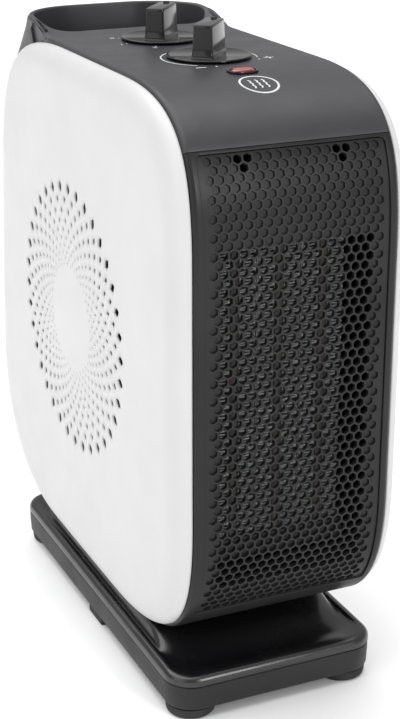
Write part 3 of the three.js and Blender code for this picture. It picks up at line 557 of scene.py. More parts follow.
def wrapped(x, s, depth=0.0):
    """The place of a point of the unrolled band: its side edges are rounded over, and the
    handle's rear corners are round in plan."""
    place = wrap.place(s)
    depth += rounded_off(x, EDGE_ROUND)
    plan = 0.0
    if place.x > PLAN_START and place.y > RIM_TOP - PLAN_FADE:
        share = min((place.y - RIM_TOP + PLAN_FADE) / (PLAN_FADE - RIM_ROUND), 1)
        plan = rounded_off(x, PLAN_ROUND) * share * ease((place.x - PLAN_START) / PLAN_RUN)
    place = place - wrap.outward(s) * depth
    return Vector((x, place.x - plan, place.y))


# Lines along the band that let its sides round over, in mm from its long edge.
COLUMNS = (24, 21, 18, 15.5, 13, 11, 9.2, 7.6, 6.2, 5, 4, 3.1, 2.4, 1.7, 1.1, 0.6, 0.25, 0.06)


def flat_sheet(s0, s1, holes, step=4 * MM):
    """The unrolled band from s0 to s1 with holes, cut into strips so that it can bend."""
    bm = bmesh.new()
    half = CORE_HALF
    loop_of(bm, [(-half, s0, 0), (half, s0, 0), (half, s1, 0), (-half, s1, 0)])
    for hole in holes:
        loop_of(bm, [(p.x, p.y, 0) for p in hole])
    bmesh.ops.triangle_fill(bm, edges=bm.edges[:], use_beauty=True)
    cuts = round((s1 - s0) / step)
    for i in range(1, cuts):
        cut_across(bm, (0, s0 + (s1 - s0) * i / cuts, 0), (0, 1, 0))
    for inward in COLUMNS:
        for side in (-1, 1):
            cut_across(bm, (side * (half - inward * MM), 0, 0), (1, 0, 0))
    return bm


FLANK_PROUD = 0.12 * MM
FLANK_DEPTH = 7 * MM
FLANK_EDGE = 0.02 * MM
BODY_MIDDLE = Vector((0, 0, 160 * MM))
REAR_FOCUS = Vector((50 * MM, 240 * MM))
REAR_REACH = 0.45
REAR_START = 10 * MM
REAR_RUN = 40 * MM


def side_skirt(bm, rear_share=0.0):
    """Turns the band's long sides in, down the flanks of the core. Behind the cover's
    round rear corner the flank shows, and reaches further towards the middle."""
    def inner(co):
        place = co.yz
        inward = (BODY_MIDDLE.yz - place).normalized() * FLANK_DEPTH
        share = rear_share * ease((place.x - REAR_START) / REAR_RUN)
        target = (place + inward).lerp(place.lerp(REAR_FOCUS, REAR_REACH), share)
        return Vector((math.copysign(CORE_HALF + FLANK_PROUD, co.x), target.x, target.y))

    edge = open_edges(bm, lambda co: abs(abs(co.x) - CORE_HALF) < FLANK_EDGE)
    grow_edges(bm, edge, inner)


def wrap_sheet(bm):
    """Bends the flat sheet round the core."""
    for v in bm.verts:
        v.co = wrapped(v.co.x, v.co.y, -v.co.z)
    return bm


def slot_ring(cx, cy, half_x, half_y, radius, steps=5):
    """A rounded rectangle in the unrolled band."""
    ring = rounded_ring(half_x, cy - half_y, cy + half_y, radius, 0, steps)
    return [p + Vector((cx, 0, 0)) for p in ring]


def disc_ring(cx, cy, radius, steps=24):
    return [Vector((cx + radius * math.cos(TURN * i / steps),
                    cy + radius * math.sin(TURN * i / steps), 0)) for i in range(steps)]


# ---------------------------------------------------------------------------
# Side covers
# ---------------------------------------------------------------------------

ROSETTE_RADIUS = 64.4 * MM
ROSETTE_SPOKES = 36
ROSETTE_RATIO = 0.908
# Half lengths of a hole, outwards and across, in mm, from the outer ring to the inner one.
ROSETTE_HOLES = ((3.1, 2.3), (2.0, 1.5), (1.8, 1.35), (1.6, 1.2), (1.35, 1.05), (1.1, 0.85),
                 (0.9, 0.7), (0.72, 0.55), (0.56, 0.44), (0.42, 0.34))
HOLE_SIDES = 12
COVER_EDGE = 14 * MM
COVER_WALL = 1.1 * MM
COVER_INSET = 1.6 * MM
COVER_CROWN = 1.3 * MM
CROWN_REACH = 130 * MM
EDGE_RINGS = 12
FACE_RINGS = 8
HOLE_START = 0.5 * MM
HOLE_ROUNDNESS = 0.6
LATTICE_CIRCLE = ROSETTE_RADIUS / ROSETTE_RATIO * 1.03
LATTICE_MIDDLE = 0.9 * ROSETTE_RADIUS
MIDDLE_RINGS = (0.97, 0.8, 0.6, 0.4, 0.2, 0.07)


def polar(x, radius, turn):
    """A point at a turn about the fan's axis."""
    return Vector((x, FAN.y + radius * math.cos(turn), FAN.z + radius * math.sin(turn)))


def rosette_cell(bm, x, radius, turn, size):
    """One lozenge of the lattice with its oval hole, which stays as a face to delete."""
    half_step = TURN / ROSETTE_SPOKES / 2
    corners = [polar(x, radius / ROSETTE_RATIO, turn), polar(x, radius, turn + half_step),
               polar(x, radius * ROSETTE_RATIO, turn), polar(x, radius, turn - half_step)]
    per_side = HOLE_SIDES // 4
    ring = [a.lerp(b, i / per_side) for a, b in zip(corners, corners[1:] + corners[:1])
            for i in range(per_side)]
    cell = bm.faces.new([bm.verts.new(p) for p in ring])
    bmesh.ops.inset_individual(bm, faces=[cell], thickness=HOLE_START)
    centre = polar(x, radius, turn)
    along, across = size
    for v in cell.verts:
        offset = v.co - centre
        angle = math.atan2(offset.z, offset.y) - turn
        pointed = 1 / (abs(math.cos(angle)) + abs(math.sin(angle)))
        reach = (HOLE_ROUNDNESS + (1 - HOLE_ROUNDNESS) * pointed) * MM
        out = along * reach * math.cos(angle)
        side = across * reach * math.sin(angle)
        v.co = centre + (polar(0, 1, turn) - polar(0, 0, turn)) * out \
            + (polar(0, 1, turn + TURN / 4) - polar(0, 0, turn)) * side
    return cell


def rosette(bm, x):
    """Rings of small oval holes on crossing arcs, which grow outwards."""
    half_step = TURN / ROSETTE_SPOKES / 2
    holes = []
    for ring, size in enumerate(ROSETTE_HOLES):
        radius = ROSETTE_RADIUS * ROSETTE_RATIO ** ring
        holes.append(rosette_cell(bm, x, radius, half_step * (ring % 2), size))
    bmesh.ops.delete(bm, geom=holes, context="FACES")
    bmesh.ops.spin(bm, geom=bm.verts[:] + bm.edges[:] + bm.faces[:], cent=(x, FAN.y, FAN.z),
                   axis=(1, 0, 0), angle=TURN, steps=ROSETTE_SPOKES, use_duplicate=True)
    bmesh.ops.remove_doubles(bm, verts=bm.verts[:], dist=WELD_ROSETTE)


def cover_reach(inset):
    """How far the cover's outline, inset, lies from the fan's axis at each turn."""
    outline = cover_outline(COVER_INSET + inset)
    turns = [math.atan2(p.y - FAN.z, p.x - FAN.y) for p in outline]
    reaches = [math.hypot(p.x - FAN.y, p.y - FAN.z) for p in outline]
    order = sorted(range(len(turns)), key=turns.__getitem__)
    turns = [turns[i] for i in order]
    reaches = [reaches[i] for i in order]
    return lambda turn: float(np.interp(turn, turns, reaches, period=TURN))


def turn_of(co):
    return math.atan2(co.z - FAN.z, co.y - FAN.y)


def reach_of(co):
    return math.hypot(co.y - FAN.y, co.z - FAN.z)


def side_cover(name, side, node):
    """A crowned shell with a rounded edge all round and the rosette over the fan."""
    bm = bmesh.new()
    x = COVER_OUT * side
    rosette(bm, x)
    loops = [e for e in bm.edges if e.is_boundary and not is_hole_edge(e)]
    edges = [e for e in loops if reach_of(e.verts[0].co) > LATTICE_MIDDLE]
    middle = [e for e in loops if reach_of(e.verts[0].co) < LATTICE_MIDDLE]
    circle = LATTICE_CIRCLE
    edges = grow_edges(bm, edges, lambda co: polar(x, circle, turn_of(co)))
    flat = cover_reach(COVER_EDGE)
    for i in range(1, FACE_RINGS + 1):
        share = i / FACE_RINGS
        edges = grow_edges(bm, edges, lambda co: polar(
            x, circle + (flat(turn_of(co)) - circle) * share, turn_of(co)))
    for i in range(EDGE_RINGS - 1, -1, -1):
        turn = i / EDGE_RINGS * TURN / 4
        at = side * (COVER_IN + (COVER_OUT - COVER_IN) * math.sin(turn))
        reach = cover_reach(COVER_EDGE * (1 - math.cos(turn)))
        edges = grow_edges(bm, edges, lambda co: polar(at, reach(turn_of(co)), turn_of(co)))
    inner = min(reach_of(v.co) for e in middle for v in e.verts)
    for share in MIDDLE_RINGS:
        middle = grow_edges(bm, middle, lambda co: polar(x, inner * share, turn_of(co)))
    bmesh.ops.contextual_create(bm, geom=middle)
    crown(bm, side)
    obj = piece(name, bm, "heater", "cover_white", (node,), inside=BODY_MIDDLE)
    return thicken(obj, COVER_WALL)


def is_hole_edge(edge):
    """Whether an open edge belongs to a hole of the rosette: such a loop is short."""
    seen = {edge}
    queue = [edge]
    while queue and len(seen) <= HOLE_SIDES:
        for v in queue.pop().verts:
            for e in v.link_edges:
                if e.is_boundary and e not in seen:
                    seen.add(e)
                    queue.append(e)
    return len(seen) <= HOLE_SIDES


def crown(bm, side):
    """Pulls the outer face in slightly towards its edges."""
    for v in bm.verts:
        away = math.hypot(v.co.y - FAN.y, v.co.z - FAN.z) / CROWN_REACH
        fall = COVER_CROWN * min(away, 1) ** 2
        v.co.x -= side * fall * (abs(v.co.x) - COVER_IN) / (COVER_OUT - COVER_IN)


# ---------------------------------------------------------------------------
# Front frame and grille
# ---------------------------------------------------------------------------

CELL = 4.6 * MM
CELL_ROW = CELL * math.sqrt(3) / 2
GRILLE_ROWS = 54
GRILLE_COLUMNS = 18
RIB = 0.85 * MM
RIB_ROUND = 0.15 * MM
CELL_CORNER = 0.3 * MM
BLIND_DEPTH = 1.1 * MM
OPEN_ROWS = (11, 50)
OPEN_COLUMNS = (2, 17)
# Cells above the window that are open too, as (row, column).
STRAY_OPEN = ((1, 4), (1, 5), (1, 14), (1, 15), (2, 4), (2, 14))
GRILLE_BACK = 0.8 * MM
GRILLE_THICKNESS = 2.2 * MM
FRAME_GAP = 0.3 * MM
GRILLE_TOP_MARGIN = 3 * MM
GRILLE_FOOT = 5 * MM
BLIND = 1
OPEN = 2
OPENING_CORNER = 2.4 * MM
FACE_DEPTH = 0.1 * MM

opening_half = grille_high.x + FRAME_GAP
opening_low = wrap.front_at(grille_low.z - GRILLE_FOOT)
opening_high = wrap.front_at(grille_high.z + FRAME_GAP)


def honeycomb_cells(bm):
    """A lattice of hexagons over the whole panel. Returns the faces by (row, column)."""
    top = opening_high - GRILLE_TOP_MARGIN
    cells = {}
    for row in range(-1, GRILLE_ROWS + 4):
        shift = 0 if row % 2 else 0.5
        for column in range(-1, GRILLE_COLUMNS + 3):
            x = (column + shift - (GRILLE_COLUMNS + 1) / 2) * CELL
            matrix = Matrix.Translation((x, top - (row - 1) * CELL_ROW, 0))
            made = bmesh.ops.create_circle(bm, cap_ends=True, segments=6,
                                           radius=CELL / math.sqrt(3), matrix=matrix)
            cells[row, column] = made["verts"][0].link_faces[0]
    return cells


def is_cell(row, column):
    last = GRILLE_COLUMNS if row % 2 else GRILLE_COLUMNS - 1
    return 1 <= row <= GRILLE_ROWS and 1 <= column <= last


def is_open(row, column):
    inside = OPEN_ROWS[0] <= row <= OPEN_ROWS[1]
    last = OPEN_COLUMNS[1] if row % 2 else OPEN_COLUMNS[1] - 1
    return inside and OPEN_COLUMNS[0] <= column <= last or (row, column) in STRAY_OPEN


def front_grille():
    """A honeycomb panel: its window is open, and the cells round it are blind pockets."""
    bm = bmesh.new()
    mark = bm.faces.layers.int.new("mark")
    cells = honeycomb_cells(bm)
    pockets = [cells[key] for key in cells if is_cell(*key)]
    openings = [cells[key] for key in cells if is_cell(*key) and is_open(*key)]
    blind = [f for f in pockets if f not in set(openings)]
    bmesh.ops.remove_doubles(bm, verts=bm.verts[:], dist=WELD_CUT)
    bmesh.ops.inset_individual(bm, faces=pockets, thickness=RIB / 2, use_even_offset=True)
    for f in blind:
        f[mark] = BLIND
    for f in openings:
        f[mark] = OPEN
    inner = list({v for f in pockets for v in f.verts})
    bmesh.ops.bevel(bm, geom=inner, offset=CELL_CORNER, segments=1, profile=0.5,
                    affect="VERTICES", offset_type="OFFSET", material=-1)
    half = opening_half - FRAME_GAP
    trim(bm, half, opening_low + FRAME_GAP, opening_high - FRAME_GAP)
    bmesh.ops.delete(bm, geom=[f for f in bm.faces if f[mark] == OPEN], context="FACES")
    thick_panel(bm, GRILLE_THICKNESS)
    floors = [f for f in bm.faces
              if f[mark] == BLIND and f.calc_center_median().z > -FACE_DEPTH]
    sink(bm, floors, BLIND_DEPTH)
    for v in bm.verts:
        v.co = wrapped(v.co.x, v.co.y, GRILLE_BACK - v.co.z)
    obj = piece("honeycomb_grille", bm, "heater", "grille_grey", ("front_grille",), sharp=40)
    soften(obj, RIB_ROUND, 1, 50)


def trim(bm, half, s0, s1):
    """Cuts a flat sheet to a rectangle."""
    for place, normal in (((half, 0, 0), (1, 0, 0)), ((-half, 0, 0), (-1, 0, 0)),
                          ((0, s0, 0), (0, -1, 0)), ((0, s1, 0), (0, 1, 0))):
        bmesh.ops.bisect_plane(bm, geom=bm.verts[:] + bm.edges[:] + bm.faces[:],
                               plane_co=place, plane_no=normal, dist=WELD_CUT,
                               clear_outer=True)


def thick_panel(bm, thickness):
    """Gives a flat sheet its back and its walls."""
    bmesh.ops.recalc_face_normals(bm, faces=bm.faces[:])
    if sum(f.normal.z for f in bm.faces) < 0:
        bmesh.ops.reverse_faces(bm, faces=bm.faces[:])
    front = bm.faces[:]
    out = bmesh.ops.extrude_face_region(bm, geom=front, use_keep_orig=True)["geom"]
    bmesh.ops.translate(bm, vec=(0, 0, -thickness),
                        verts=[v for v in out if isinstance(v, bmesh.types.BMVert)])


def sink(bm, faces, depth):
    """Pushes faces in and leaves walls round them."""
    out = bmesh.ops.extrude_discrete_faces(bm, faces=faces)["faces"]
    bmesh.ops.translate(bm, vec=(0, 0, -depth), verts=list({v for f in out for v in f.verts}))


def front_frame():
    """The frame round the grille, from the underside up to the top cover."""
    s0 = wrap.bottom_at(frame_high.y) if frame_high.y < 0 else 0
    s1 = wrap.front_at(frame_high.z)
    hole = slot_ring(0, (opening_low + opening_high) / 2, opening_half,
                     (opening_high - opening_low) / 2, OPENING_CORNER)
    bm = wrap_sheet(flat_sheet(s0, s1, [hole]))
    side_skirt(bm)
    obj = piece("grille_frame", bm, "heater", "grille_grey", ("front_frame",),
                inside=BODY_MIDDLE)
    thicken(obj, SHEET)
    soften(obj, 0.5 * MM, 2, 60)


# ---------------------------------------------------------------------------
# Top cover with the handle
# ---------------------------------------------------------------------------

POCKET_HALF = 44.9 * MM
POCKET_RADIUS = 16 * MM
POCKET_REAR_RADIUS = 30.6 * MM
POCKET_LENGTH = 47 * MM
POCKET_DEPTH = 32 * MM
RIM_THICKNESS = 3.4 * MM
POCKET_LIP = 1.2 * MM
POCKET_FILLET = 5 * MM
POCKET_DRAFT = 0.4 * MM
POCKET_REACH = 4 * MM
MOUTH_DEPTH = 1 * MM
LIP_STEPS = 4
FILLET_STEPS = 6
SHAFT_HOLE = 3.6 * MM
LENS_HOLE_SIDE = 1.6 * MM
LENS_HOLE_END = 1.2 * MM
LENS_HOLE_FLAT = 0.01 * MM

pocket_back = back_line(RIM_TOP) - RIM_THICKNESS
pocket_front = pocket_back - POCKET_LENGTH
pocket_floor = TOP - POCKET_DEPTH
knob_spots = {name: (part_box(name)[0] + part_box(name)[1]) / 2
              for name in ("thermostat_knob", "mode_knob")}
lens_low, lens_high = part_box("indicator_lens")
lens_middle = (lens_low + lens_high) / 2


def pocket_outline():
    """The mouth of the pocket, seen from above, with its rounded lip."""
    return rounded_ring(POCKET_HALF + POCKET_LIP, pocket_front - POCKET_LIP,
                        pocket_back + POCKET_LIP, POCKET_RADIUS + POCKET_LIP, 0, 14,
                        POCKET_REAR_RADIUS + POCKET_LIP)


def into_pocket(co, inward, z):
    """Moves a point of the mouth towards the pocket's middle, square to its outline."""
    middle = (pocket_front + pocket_back) / 2
    core = (POCKET_RADIUS if co.y < middle else POCKET_REAR_RADIUS) + POCKET_LIP
    side = POCKET_HALF + POCKET_LIP - core
    near = Vector((min(max(co.x, -side), side),
                   min(max(co.y, pocket_front - POCKET_LIP + core),
                       pocket_back + POCKET_LIP - core)))
    away = (co.xy - near).normalized()
    return Vector((co.x - away.x * inward, co.y - away.y * inward, z))


def pocket_walls(bm):
    """Rolls the lip over, and drops the walls to a filleted floor."""
    def in_mouth(co):
        return abs(co.x) < POCKET_HALF + POCKET_REACH and pocket_front - POCKET_REACH < co.y

    edge = open_edges(bm, lambda co: in_mouth(co) and co.z > TOP - MOUTH_DEPTH)
    before = 0.0
    fallen = 0.0
    for i in range(1, LIP_STEPS + 1):
        turn = i / LIP_STEPS * TURN / 4
        inward = POCKET_LIP * math.sin(turn)
        drop = POCKET_LIP * (1 - math.cos(turn))
        step, fall = inward - before, drop - fallen
        edge = grow_edges(bm, edge, lambda co: into_pocket(co, step, co.z - fall))
        before, fallen = inward, drop
    level = pocket_floor + POCKET_FILLET
    edge = grow_edges(bm, edge, lambda co: into_pocket(co, 0, level + (co.z - level) * 0.5))
    edge = grow_edges(bm, edge, lambda co: into_pocket(co, POCKET_DRAFT, level))
    before = 0.0
    for i in range(1, FILLET_STEPS + 1):
        turn = i / FILLET_STEPS * TURN / 4
        inward = POCKET_FILLET * (1 - math.cos(turn))
        z = level - POCKET_FILLET * math.sin(turn)
        step = inward - before
        edge = grow_edges(bm, edge, lambda co: into_pocket(co, step, z))
        before = inward
    bmesh.ops.contextual_create(bm, geom=edge)


def band_at(x, y):
    """Where along the band its wrapped place reaches y, on top of the core."""
    low, high = wrap.front_at(frame_high.z), wrap.lengths[wrap.summit] + RIM_ROUND
    for _ in range(40):
        middle = (low + high) / 2
        if wrapped(x, middle).y < y:
            low = middle
        else:
            high = middle
    return (low + high) / 2


def top_cover():
    """The top panel, which rises to the handle's rim, with the pocket and three holes."""
    s0 = wrap.front_at(frame_high.z + FRAME_GAP)
    s1 = wrap.back_at(shell_high.z + FRAME_GAP)
    holes = [[Vector((p.x, band_at(p.x, p.y), 0)) for p in pocket_outline()]]
    for spot in knob_spots.values():
        holes.append(disc_ring(0, wrap.top_at(spot.y), SHAFT_HOLE))
    lens_half = (lens_high - lens_low) / 2
    hole_half = lens_half.y + LENS_HOLE_END
    holes.append(slot_ring(0, wrap.top_at(lens_middle.y), lens_half.x + LENS_HOLE_SIDE,
                           hole_half, hole_half - LENS_HOLE_FLAT))
    bm = wrap_sheet(flat_sheet(s0, s1, holes))
    pocket_walls(bm)
    side_skirt(bm, 1.0)
    obj = piece("top_cover_shell", bm, "heater", "top_grey", ("top_cover",),
                inside=BODY_MIDDLE)
    thicken(obj, SHEET)
    soften(obj, 0.4 * MM, 2, 62)


# ---------------------------------------------------------------------------
# Rear shell
# ---------------------------------------------------------------------------

VENT_SLOTS = 6
VENT_PITCH = 8 * MM
VENT_HALF_LENGTH = 22 * MM
VENT_HALF_HEIGHT = 1.3 * MM
spindle_low, spindle_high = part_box("swivel_spindle")
spindle_axis = (spindle_low + spindle_high) / 2
gland_low, gland_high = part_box("cord_gland")
gland_axis = (gland_low + gland_high) / 2
SPINDLE_HOLE = 16 * MM
GLAND_HOLE = 6.4 * MM


def rear_shell():
    """The back and the underside, with air slots, the cord's hole and the spindle's."""
    s0 = wrap.back_at(shell_high.z)
    s1 = wrap.total + wrap.bottom_at(shell_low.y)
    holes = []
    for i in range(VENT_SLOTS):
        z = FAN.z + (i - (VENT_SLOTS - 1) / 2) * VENT_PITCH
        holes.append(slot_ring(0, wrap.back_at(z), VENT_HALF_LENGTH, VENT_HALF_HEIGHT,
                               VENT_HALF_HEIGHT * 0.98))
    holes.append(disc_ring(gland_axis.x, wrap.back_at(gland_axis.z), GLAND_HOLE))
    holes.append(disc_ring(0, wrap.total + wrap.bottom_at(spindle_axis.y), SPINDLE_HOLE, 40))
    bm = wrap_sheet(flat_sheet(s0, s1, holes))
    side_skirt(bm)
    obj = piece("rear_shell_band", bm, "heater", "grille_grey", ("rear_shell",),
                inside=BODY_MIDDLE)
    thicken(obj, SHEET)
    soften(obj, 0.4 * MM, 2, 62)


# ---------------------------------------------------------------------------
# Base
# ---------------------------------------------------------------------------

BASE_CORNER = 14 * MM
LID_RIM_ROUND = 3.6 * MM
LID_RIM_HEIGHT = 5.3 * MM
LID_RIM_STEPS = 6
LID_HOLE = 14.6 * MM
LID_WALL = 1.8 * MM
TRAY_WALL = 2 * MM
NECK_STEPS = 16
VALLEY_STEPS = 6
NECK_RADIUS = 26 * MM
NECK_SIDE = 8.6 * MM
NECK_END = 30 * MM
VALLEY_SIDE = 5.2 * MM
VALLEY_END = 14 * MM
VALLEY_RADIUS = 18 * MM
VALLEY_DROP = 1.6 * MM


def base_ring(inset, z, steps=10):
    """The base's outline, set in by inset, at a height."""
    return rounded_ring(lid_high.x - inset, lid_low.y + inset, lid_high.y - inset,
                        max(BASE_CORNER - inset, 1 * MM), z, steps)


def blend_rings(outer, inner, share, z):
    """A ring between two others, at a height."""
    return [Vector((*a.lerp(b, share).xy, z)) for a, b in zip(outer, inner)]


def base_lid():
    """A rounded rim, a shallow valley inside it and a raised neck under the body."""
    neck = rounded_ring(lid_high.x - NECK_SIDE, lid_low.y + NECK_END,
                        lid_high.y - NECK_END, NECK_RADIUS, 0, 10)
    foot = rounded_ring(lid_high.x - VALLEY_SIDE, lid_low.y + VALLEY_END,
                        lid_high.y - VALLEY_END, VALLEY_RADIUS, 0, 10)
    rim_top = lid_low.z + LID_RIM_HEIGHT
    rings = [base_ring(2.2 * MM, lid_low.z), base_ring(0.4 * MM, lid_low.z),
             base_ring(0, lid_low.z + 0.4 * MM)]
    for i in range(LID_RIM_STEPS + 1):
        turn = i / LID_RIM_STEPS * TURN / 4
        rings.append(base_ring(LID_RIM_ROUND * (1 - math.cos(turn)),
                               rim_top - LID_RIM_ROUND * (1 - math.sin(turn))))
    inner = base_ring(LID_RIM_ROUND + 0.4 * MM, rim_top)
    for i in range(VALLEY_STEPS):
        share = i / VALLEY_STEPS
        rings.append(blend_rings(inner, foot, share, rim_top - VALLEY_DROP * ease(share)))
    floor_z = rim_top - VALLEY_DROP
    for i in range(NECK_STEPS + 1):
        share = i / NECK_STEPS
        rise = ease(share) * (lid_high.z - floor_z)
        rings.append(blend_rings(foot, neck, share, floor_z + rise))
    middle = (lid_low + lid_high) / 2
    centre_ring = [Vector((middle.x, middle.y, 0)) + (p - Vector((0, middle.y, 0))).normalized()
                   * LID_HOLE for p in rings[-1]]
    rings.append(blend_rings(neck, centre_ring, 0.1, lid_high.z))
    rings.append(blend_rings(neck, centre_ring, 1, lid_high.z))
    bm = bmesh.new()
    loft(bm, rings)
    obj = piece("base_dish", bm, "base", "base_black", ("base_lid",),
                inside=Vector((0, middle.y, -60 * MM)))
    thicken(obj, LID_WALL)


def base_tray():
    """The skirt: upright walls, a small step at the parting line and a flat underside."""
    low, high = tray_low.z, tray_high.z
    rings = [base_ring(2.4 * MM, high), base_ring(0.5 * MM, high),
             base_ring(0.2 * MM, high - 0.3 * MM), base_ring(0.2 * MM, high - 4 * MM),
             base_ring(0.5 * MM, low + 1.6 * MM), base_ring(0.9 * MM, low + 0.6 * MM),
             base_ring(1.8 * MM, low), base_ring(5 * MM, low)]
    bm = bmesh.new()
    loft(bm, rings, cap_end=True)
    obj = piece("base_skirt", bm, "base", "skirt_grey", ("base_tray",),
                inside=Vector((0, (tray_low.y + tray_high.y) / 2, 14 * MM)))
    thicken(obj, TRAY_WALL)


FOOT_EDGE = 0.6 * MM
FOOT_SOLE = 2.2 * MM
FOOT_WAIST = 0.15 * MM
FOOT_GROOVE = 0.5 * MM
# Across the sole's ring, in shares of the foot's radius.
FOOT_RING = (0.72, 0.7, 0.62, 0.6)


def foot(node):
    """A soft round pad with a rounded sole and a moulded ring in it."""
    low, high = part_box(node)
    middle = (low + high) / 2
    radius = (high.x - low.x) / 2
    height = high.z - low.z
    profile = [(0, height), (radius - FOOT_EDGE, height)]
    profile += arc(radius - FOOT_EDGE, height - FOOT_EDGE, FOOT_EDGE, 90, 0, 3)
    profile += [(radius - FOOT_WAIST, height / 2)]
    profile += arc(radius - FOOT_SOLE - 0.2 * MM, FOOT_SOLE, FOOT_SOLE, 0, -90, 6)
    profile += [(radius * share, depth)
                for share, depth in zip(FOOT_RING, (0, FOOT_GROOVE, FOOT_GROOVE, 0))]
    profile += [(0, 0)]
    bm = turned(profile, Vector((middle.x, middle.y, low.z)), steps=40)
    piece(f"{node}_pad", bm, "base", "foot_rubber", (node,))


def side_rest(node):
    """A flat rest under the middle of one of the base's long sides."""
    low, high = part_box(node)
    obj = piece(f"{node}_block", block(low, high), "base", "foot_rubber", (node,))
    soften(obj, 0.8 * MM, 3)


SCREW_HEAD = 1.9 * MM
SCREW_TURNS = 9
# The head's round, as shares of its radius and heights.
SCREW_DOME = ((0, 0), (0.55, 0), (0.85, 0.25 * MM), (1, 0.8 * MM))
CROSS_LOW = Vector((-0.35, -1.9, -0.1)) * MM
CROSS_HIGH = Vector((0.35, 1.9, 0.15)) * MM


def base_screw(node):
    """A pan-head screw seen from underneath; a dark block in its head is painted shade for the
    recess.
    """
    low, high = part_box(node)
    middle = (low + high) / 2
    radius = (high.x - low.x) / 2
    profile = [(radius * share, z) for share, z in SCREW_DOME]
    profile += [(radius, SCREW_HEAD - 0.4 * MM), (radius * 0.5, SCREW_HEAD)]
    pitch = (high.z - low.z - SCREW_HEAD) / SCREW_TURNS
    for i in range(SCREW_TURNS):
        z = SCREW_HEAD + pitch * i
        profile += [(radius * 0.4, z), (radius * 0.5, z + pitch / 2)]
    profile += [(radius * 0.35, high.z - low.z), (0, high.z - low.z)]
    bm = turned(profile, Vector((middle.x, middle.y, low.z)), steps=24)
    # The recess is not cut: a dark block in the head's face stands in for it as painted shade.
    recess = block(CROSS_LOW, CROSS_HIGH)
    recess_shade = bmesh.new()
    for quarter in range(2):
        arm = recess.copy()
        bmesh.ops.transform(arm, matrix=Matrix.Translation((middle.x, middle.y, low.z))
                            @ Matrix.Rotation(quarter * TURN / 4, 4, "Z"), verts=arm.verts[:])
        part = bpy.data.meshes.new("arm")
        arm.to_mesh(part)
        recess_shade.from_mesh(part)
        bpy.data.meshes.remove(part)
        arm.free()
    recess.free()
    piece(f"{node}_pan_head", bm, "base", "steel", (node,))
    # Dark block in the foot rubber finish: painted shade of the screw's recess.
    piece(f"{node}_cross", recess_shade, "base", "foot_rubber")


SLIDE_WIDTH = 11 * MM
SLIDE_CHAMFER = 0.5 * MM


def turntable():
    """The flat ring that the body turns on."""
    low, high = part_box("turntable_ring")
    middle = (low + high) / 2
    outer = (high.x - low.x) / 2
    inner = outer - SLIDE_WIDTH
    height = high.z - low.z
    chamfer = SLIDE_CHAMFER
    profile = [(inner, 0), (outer - chamfer, 0), (outer, chamfer), (outer, height - chamfer),
               (outer - chamfer, height), (inner, height), (inner, 0)]
    bm = turned(profile, Vector((middle.x, middle.y, low.z)), steps=72)
    piece("turntable_slide", bm, "base", "heat_plastic", ("turntable_ring",))


# ---------------------------------------------------------------------------
# Knobs, lens and printed marks
# ---------------------------------------------------------------------------

GRIP_TURN = math.radians(51)
GRIP_HALF_WIDTH = 4.75 * MM
GRIP_HALF_LENGTH = 12 * MM
SKIRT_HEIGHT = 1.4 * MM
GRIP_CORNER = 1.1 * MM
# Shares of the grip's height, and how far it is grown there, in mm.
GRIP_SIDES = ((0, 1.0), (0.05, 0.45), (0.12, 0.15), (0.3, 0), (0.9, -0.35))
GRIP_TAPER = 0.35 * MM
GRIP_TOP_ROUND = 0.8 * MM
GRIP_TOP_STEPS = 5
DISC_ROUND = 0.55 * MM
DISC_FACE_DROP = 0.15 * MM
DOT_RADIUS = 1.5 * MM
DOT_FROM_END = 3.2 * MM
DOT_HEIGHT = 0.75 * MM


def grip_ring(centre, grow, z):
    """The grip's outline, a turned rectangle with small round corners."""
    half = GRIP_HALF_WIDTH + grow
    reach = GRIP_HALF_LENGTH + grow
    turn = Matrix.Rotation(GRIP_TURN, 2)
    ring = rounded_ring(reach, -half, half, GRIP_CORNER, z, 4)
    return [Vector((*(centre.xy + turn @ p.xy), z)) for p in ring]


def knob(name, body):
    """A thin disc with a rounded edge, a tapered grip on it and a pointer dot."""
    low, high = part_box(name)
    centre = (low + high) / 2
    radius = (high.x - low.x) / 2
    top = SKIRT_HEIGHT
    profile = [(0, 0), (radius - 1.5 * MM, 0), (radius - 0.4 * MM, 0.35 * MM)]
    profile += arc(radius - DISC_ROUND, top - DISC_ROUND, DISC_ROUND, 0, 90, 5)
    profile += [(radius - 1.3 * MM, top), (radius - 1.6 * MM, top - DISC_FACE_DROP),
                (0, top - DISC_FACE_DROP)]
    disc = turned(profile, Vector((centre.x, centre.y, low.z)), steps=96)
    piece(f"{name}_disc", disc, body, "knob_black", (name,), sharp=40)
    foot_z = low.z + top - 0.4 * MM
    height = high.z - foot_z
    rings = []
    for share, grow in GRIP_SIDES:
        rings.append(grip_ring(centre, grow * MM, foot_z + height * share))
    for i in range(1, GRIP_TOP_STEPS + 1):
        turn = i / GRIP_TOP_STEPS * TURN / 4
        grow = -GRIP_TAPER - GRIP_TOP_ROUND * (1 - math.cos(turn))
        rings.append(grip_ring(centre, grow, high.z - GRIP_TOP_ROUND * (1 - math.sin(turn))))
    bm = bmesh.new()
    loft(bm, rings, cap_start=True, cap_end=True)
    piece(f"{name}_grip", bm, body, "knob_black", sharp=50)
    pointer(name, body, centre, high.z)


def pointer(name, body, centre, z):
    """A small raised dot at the grip's far end shows where the dial points."""
    along = Vector((GRIP_HALF_LENGTH - DOT_FROM_END, 0))
    spot = centre.xy + Matrix.Rotation(GRIP_TURN, 2) @ along
    profile = [(0, -0.4 * MM), (DOT_RADIUS, -0.4 * MM), (DOT_RADIUS, 0.1 * MM)]
    profile += arc(0, -0.15 * MM, DOT_RADIUS, 10, 90, 5)[1:]
    profile = [(r, min(h, DOT_HEIGHT)) for r, h in profile]
    bm = turned(profile, Vector((*spot, z)), steps=20)
    piece(f"{name}_dot", bm, body, "skirt_grey")


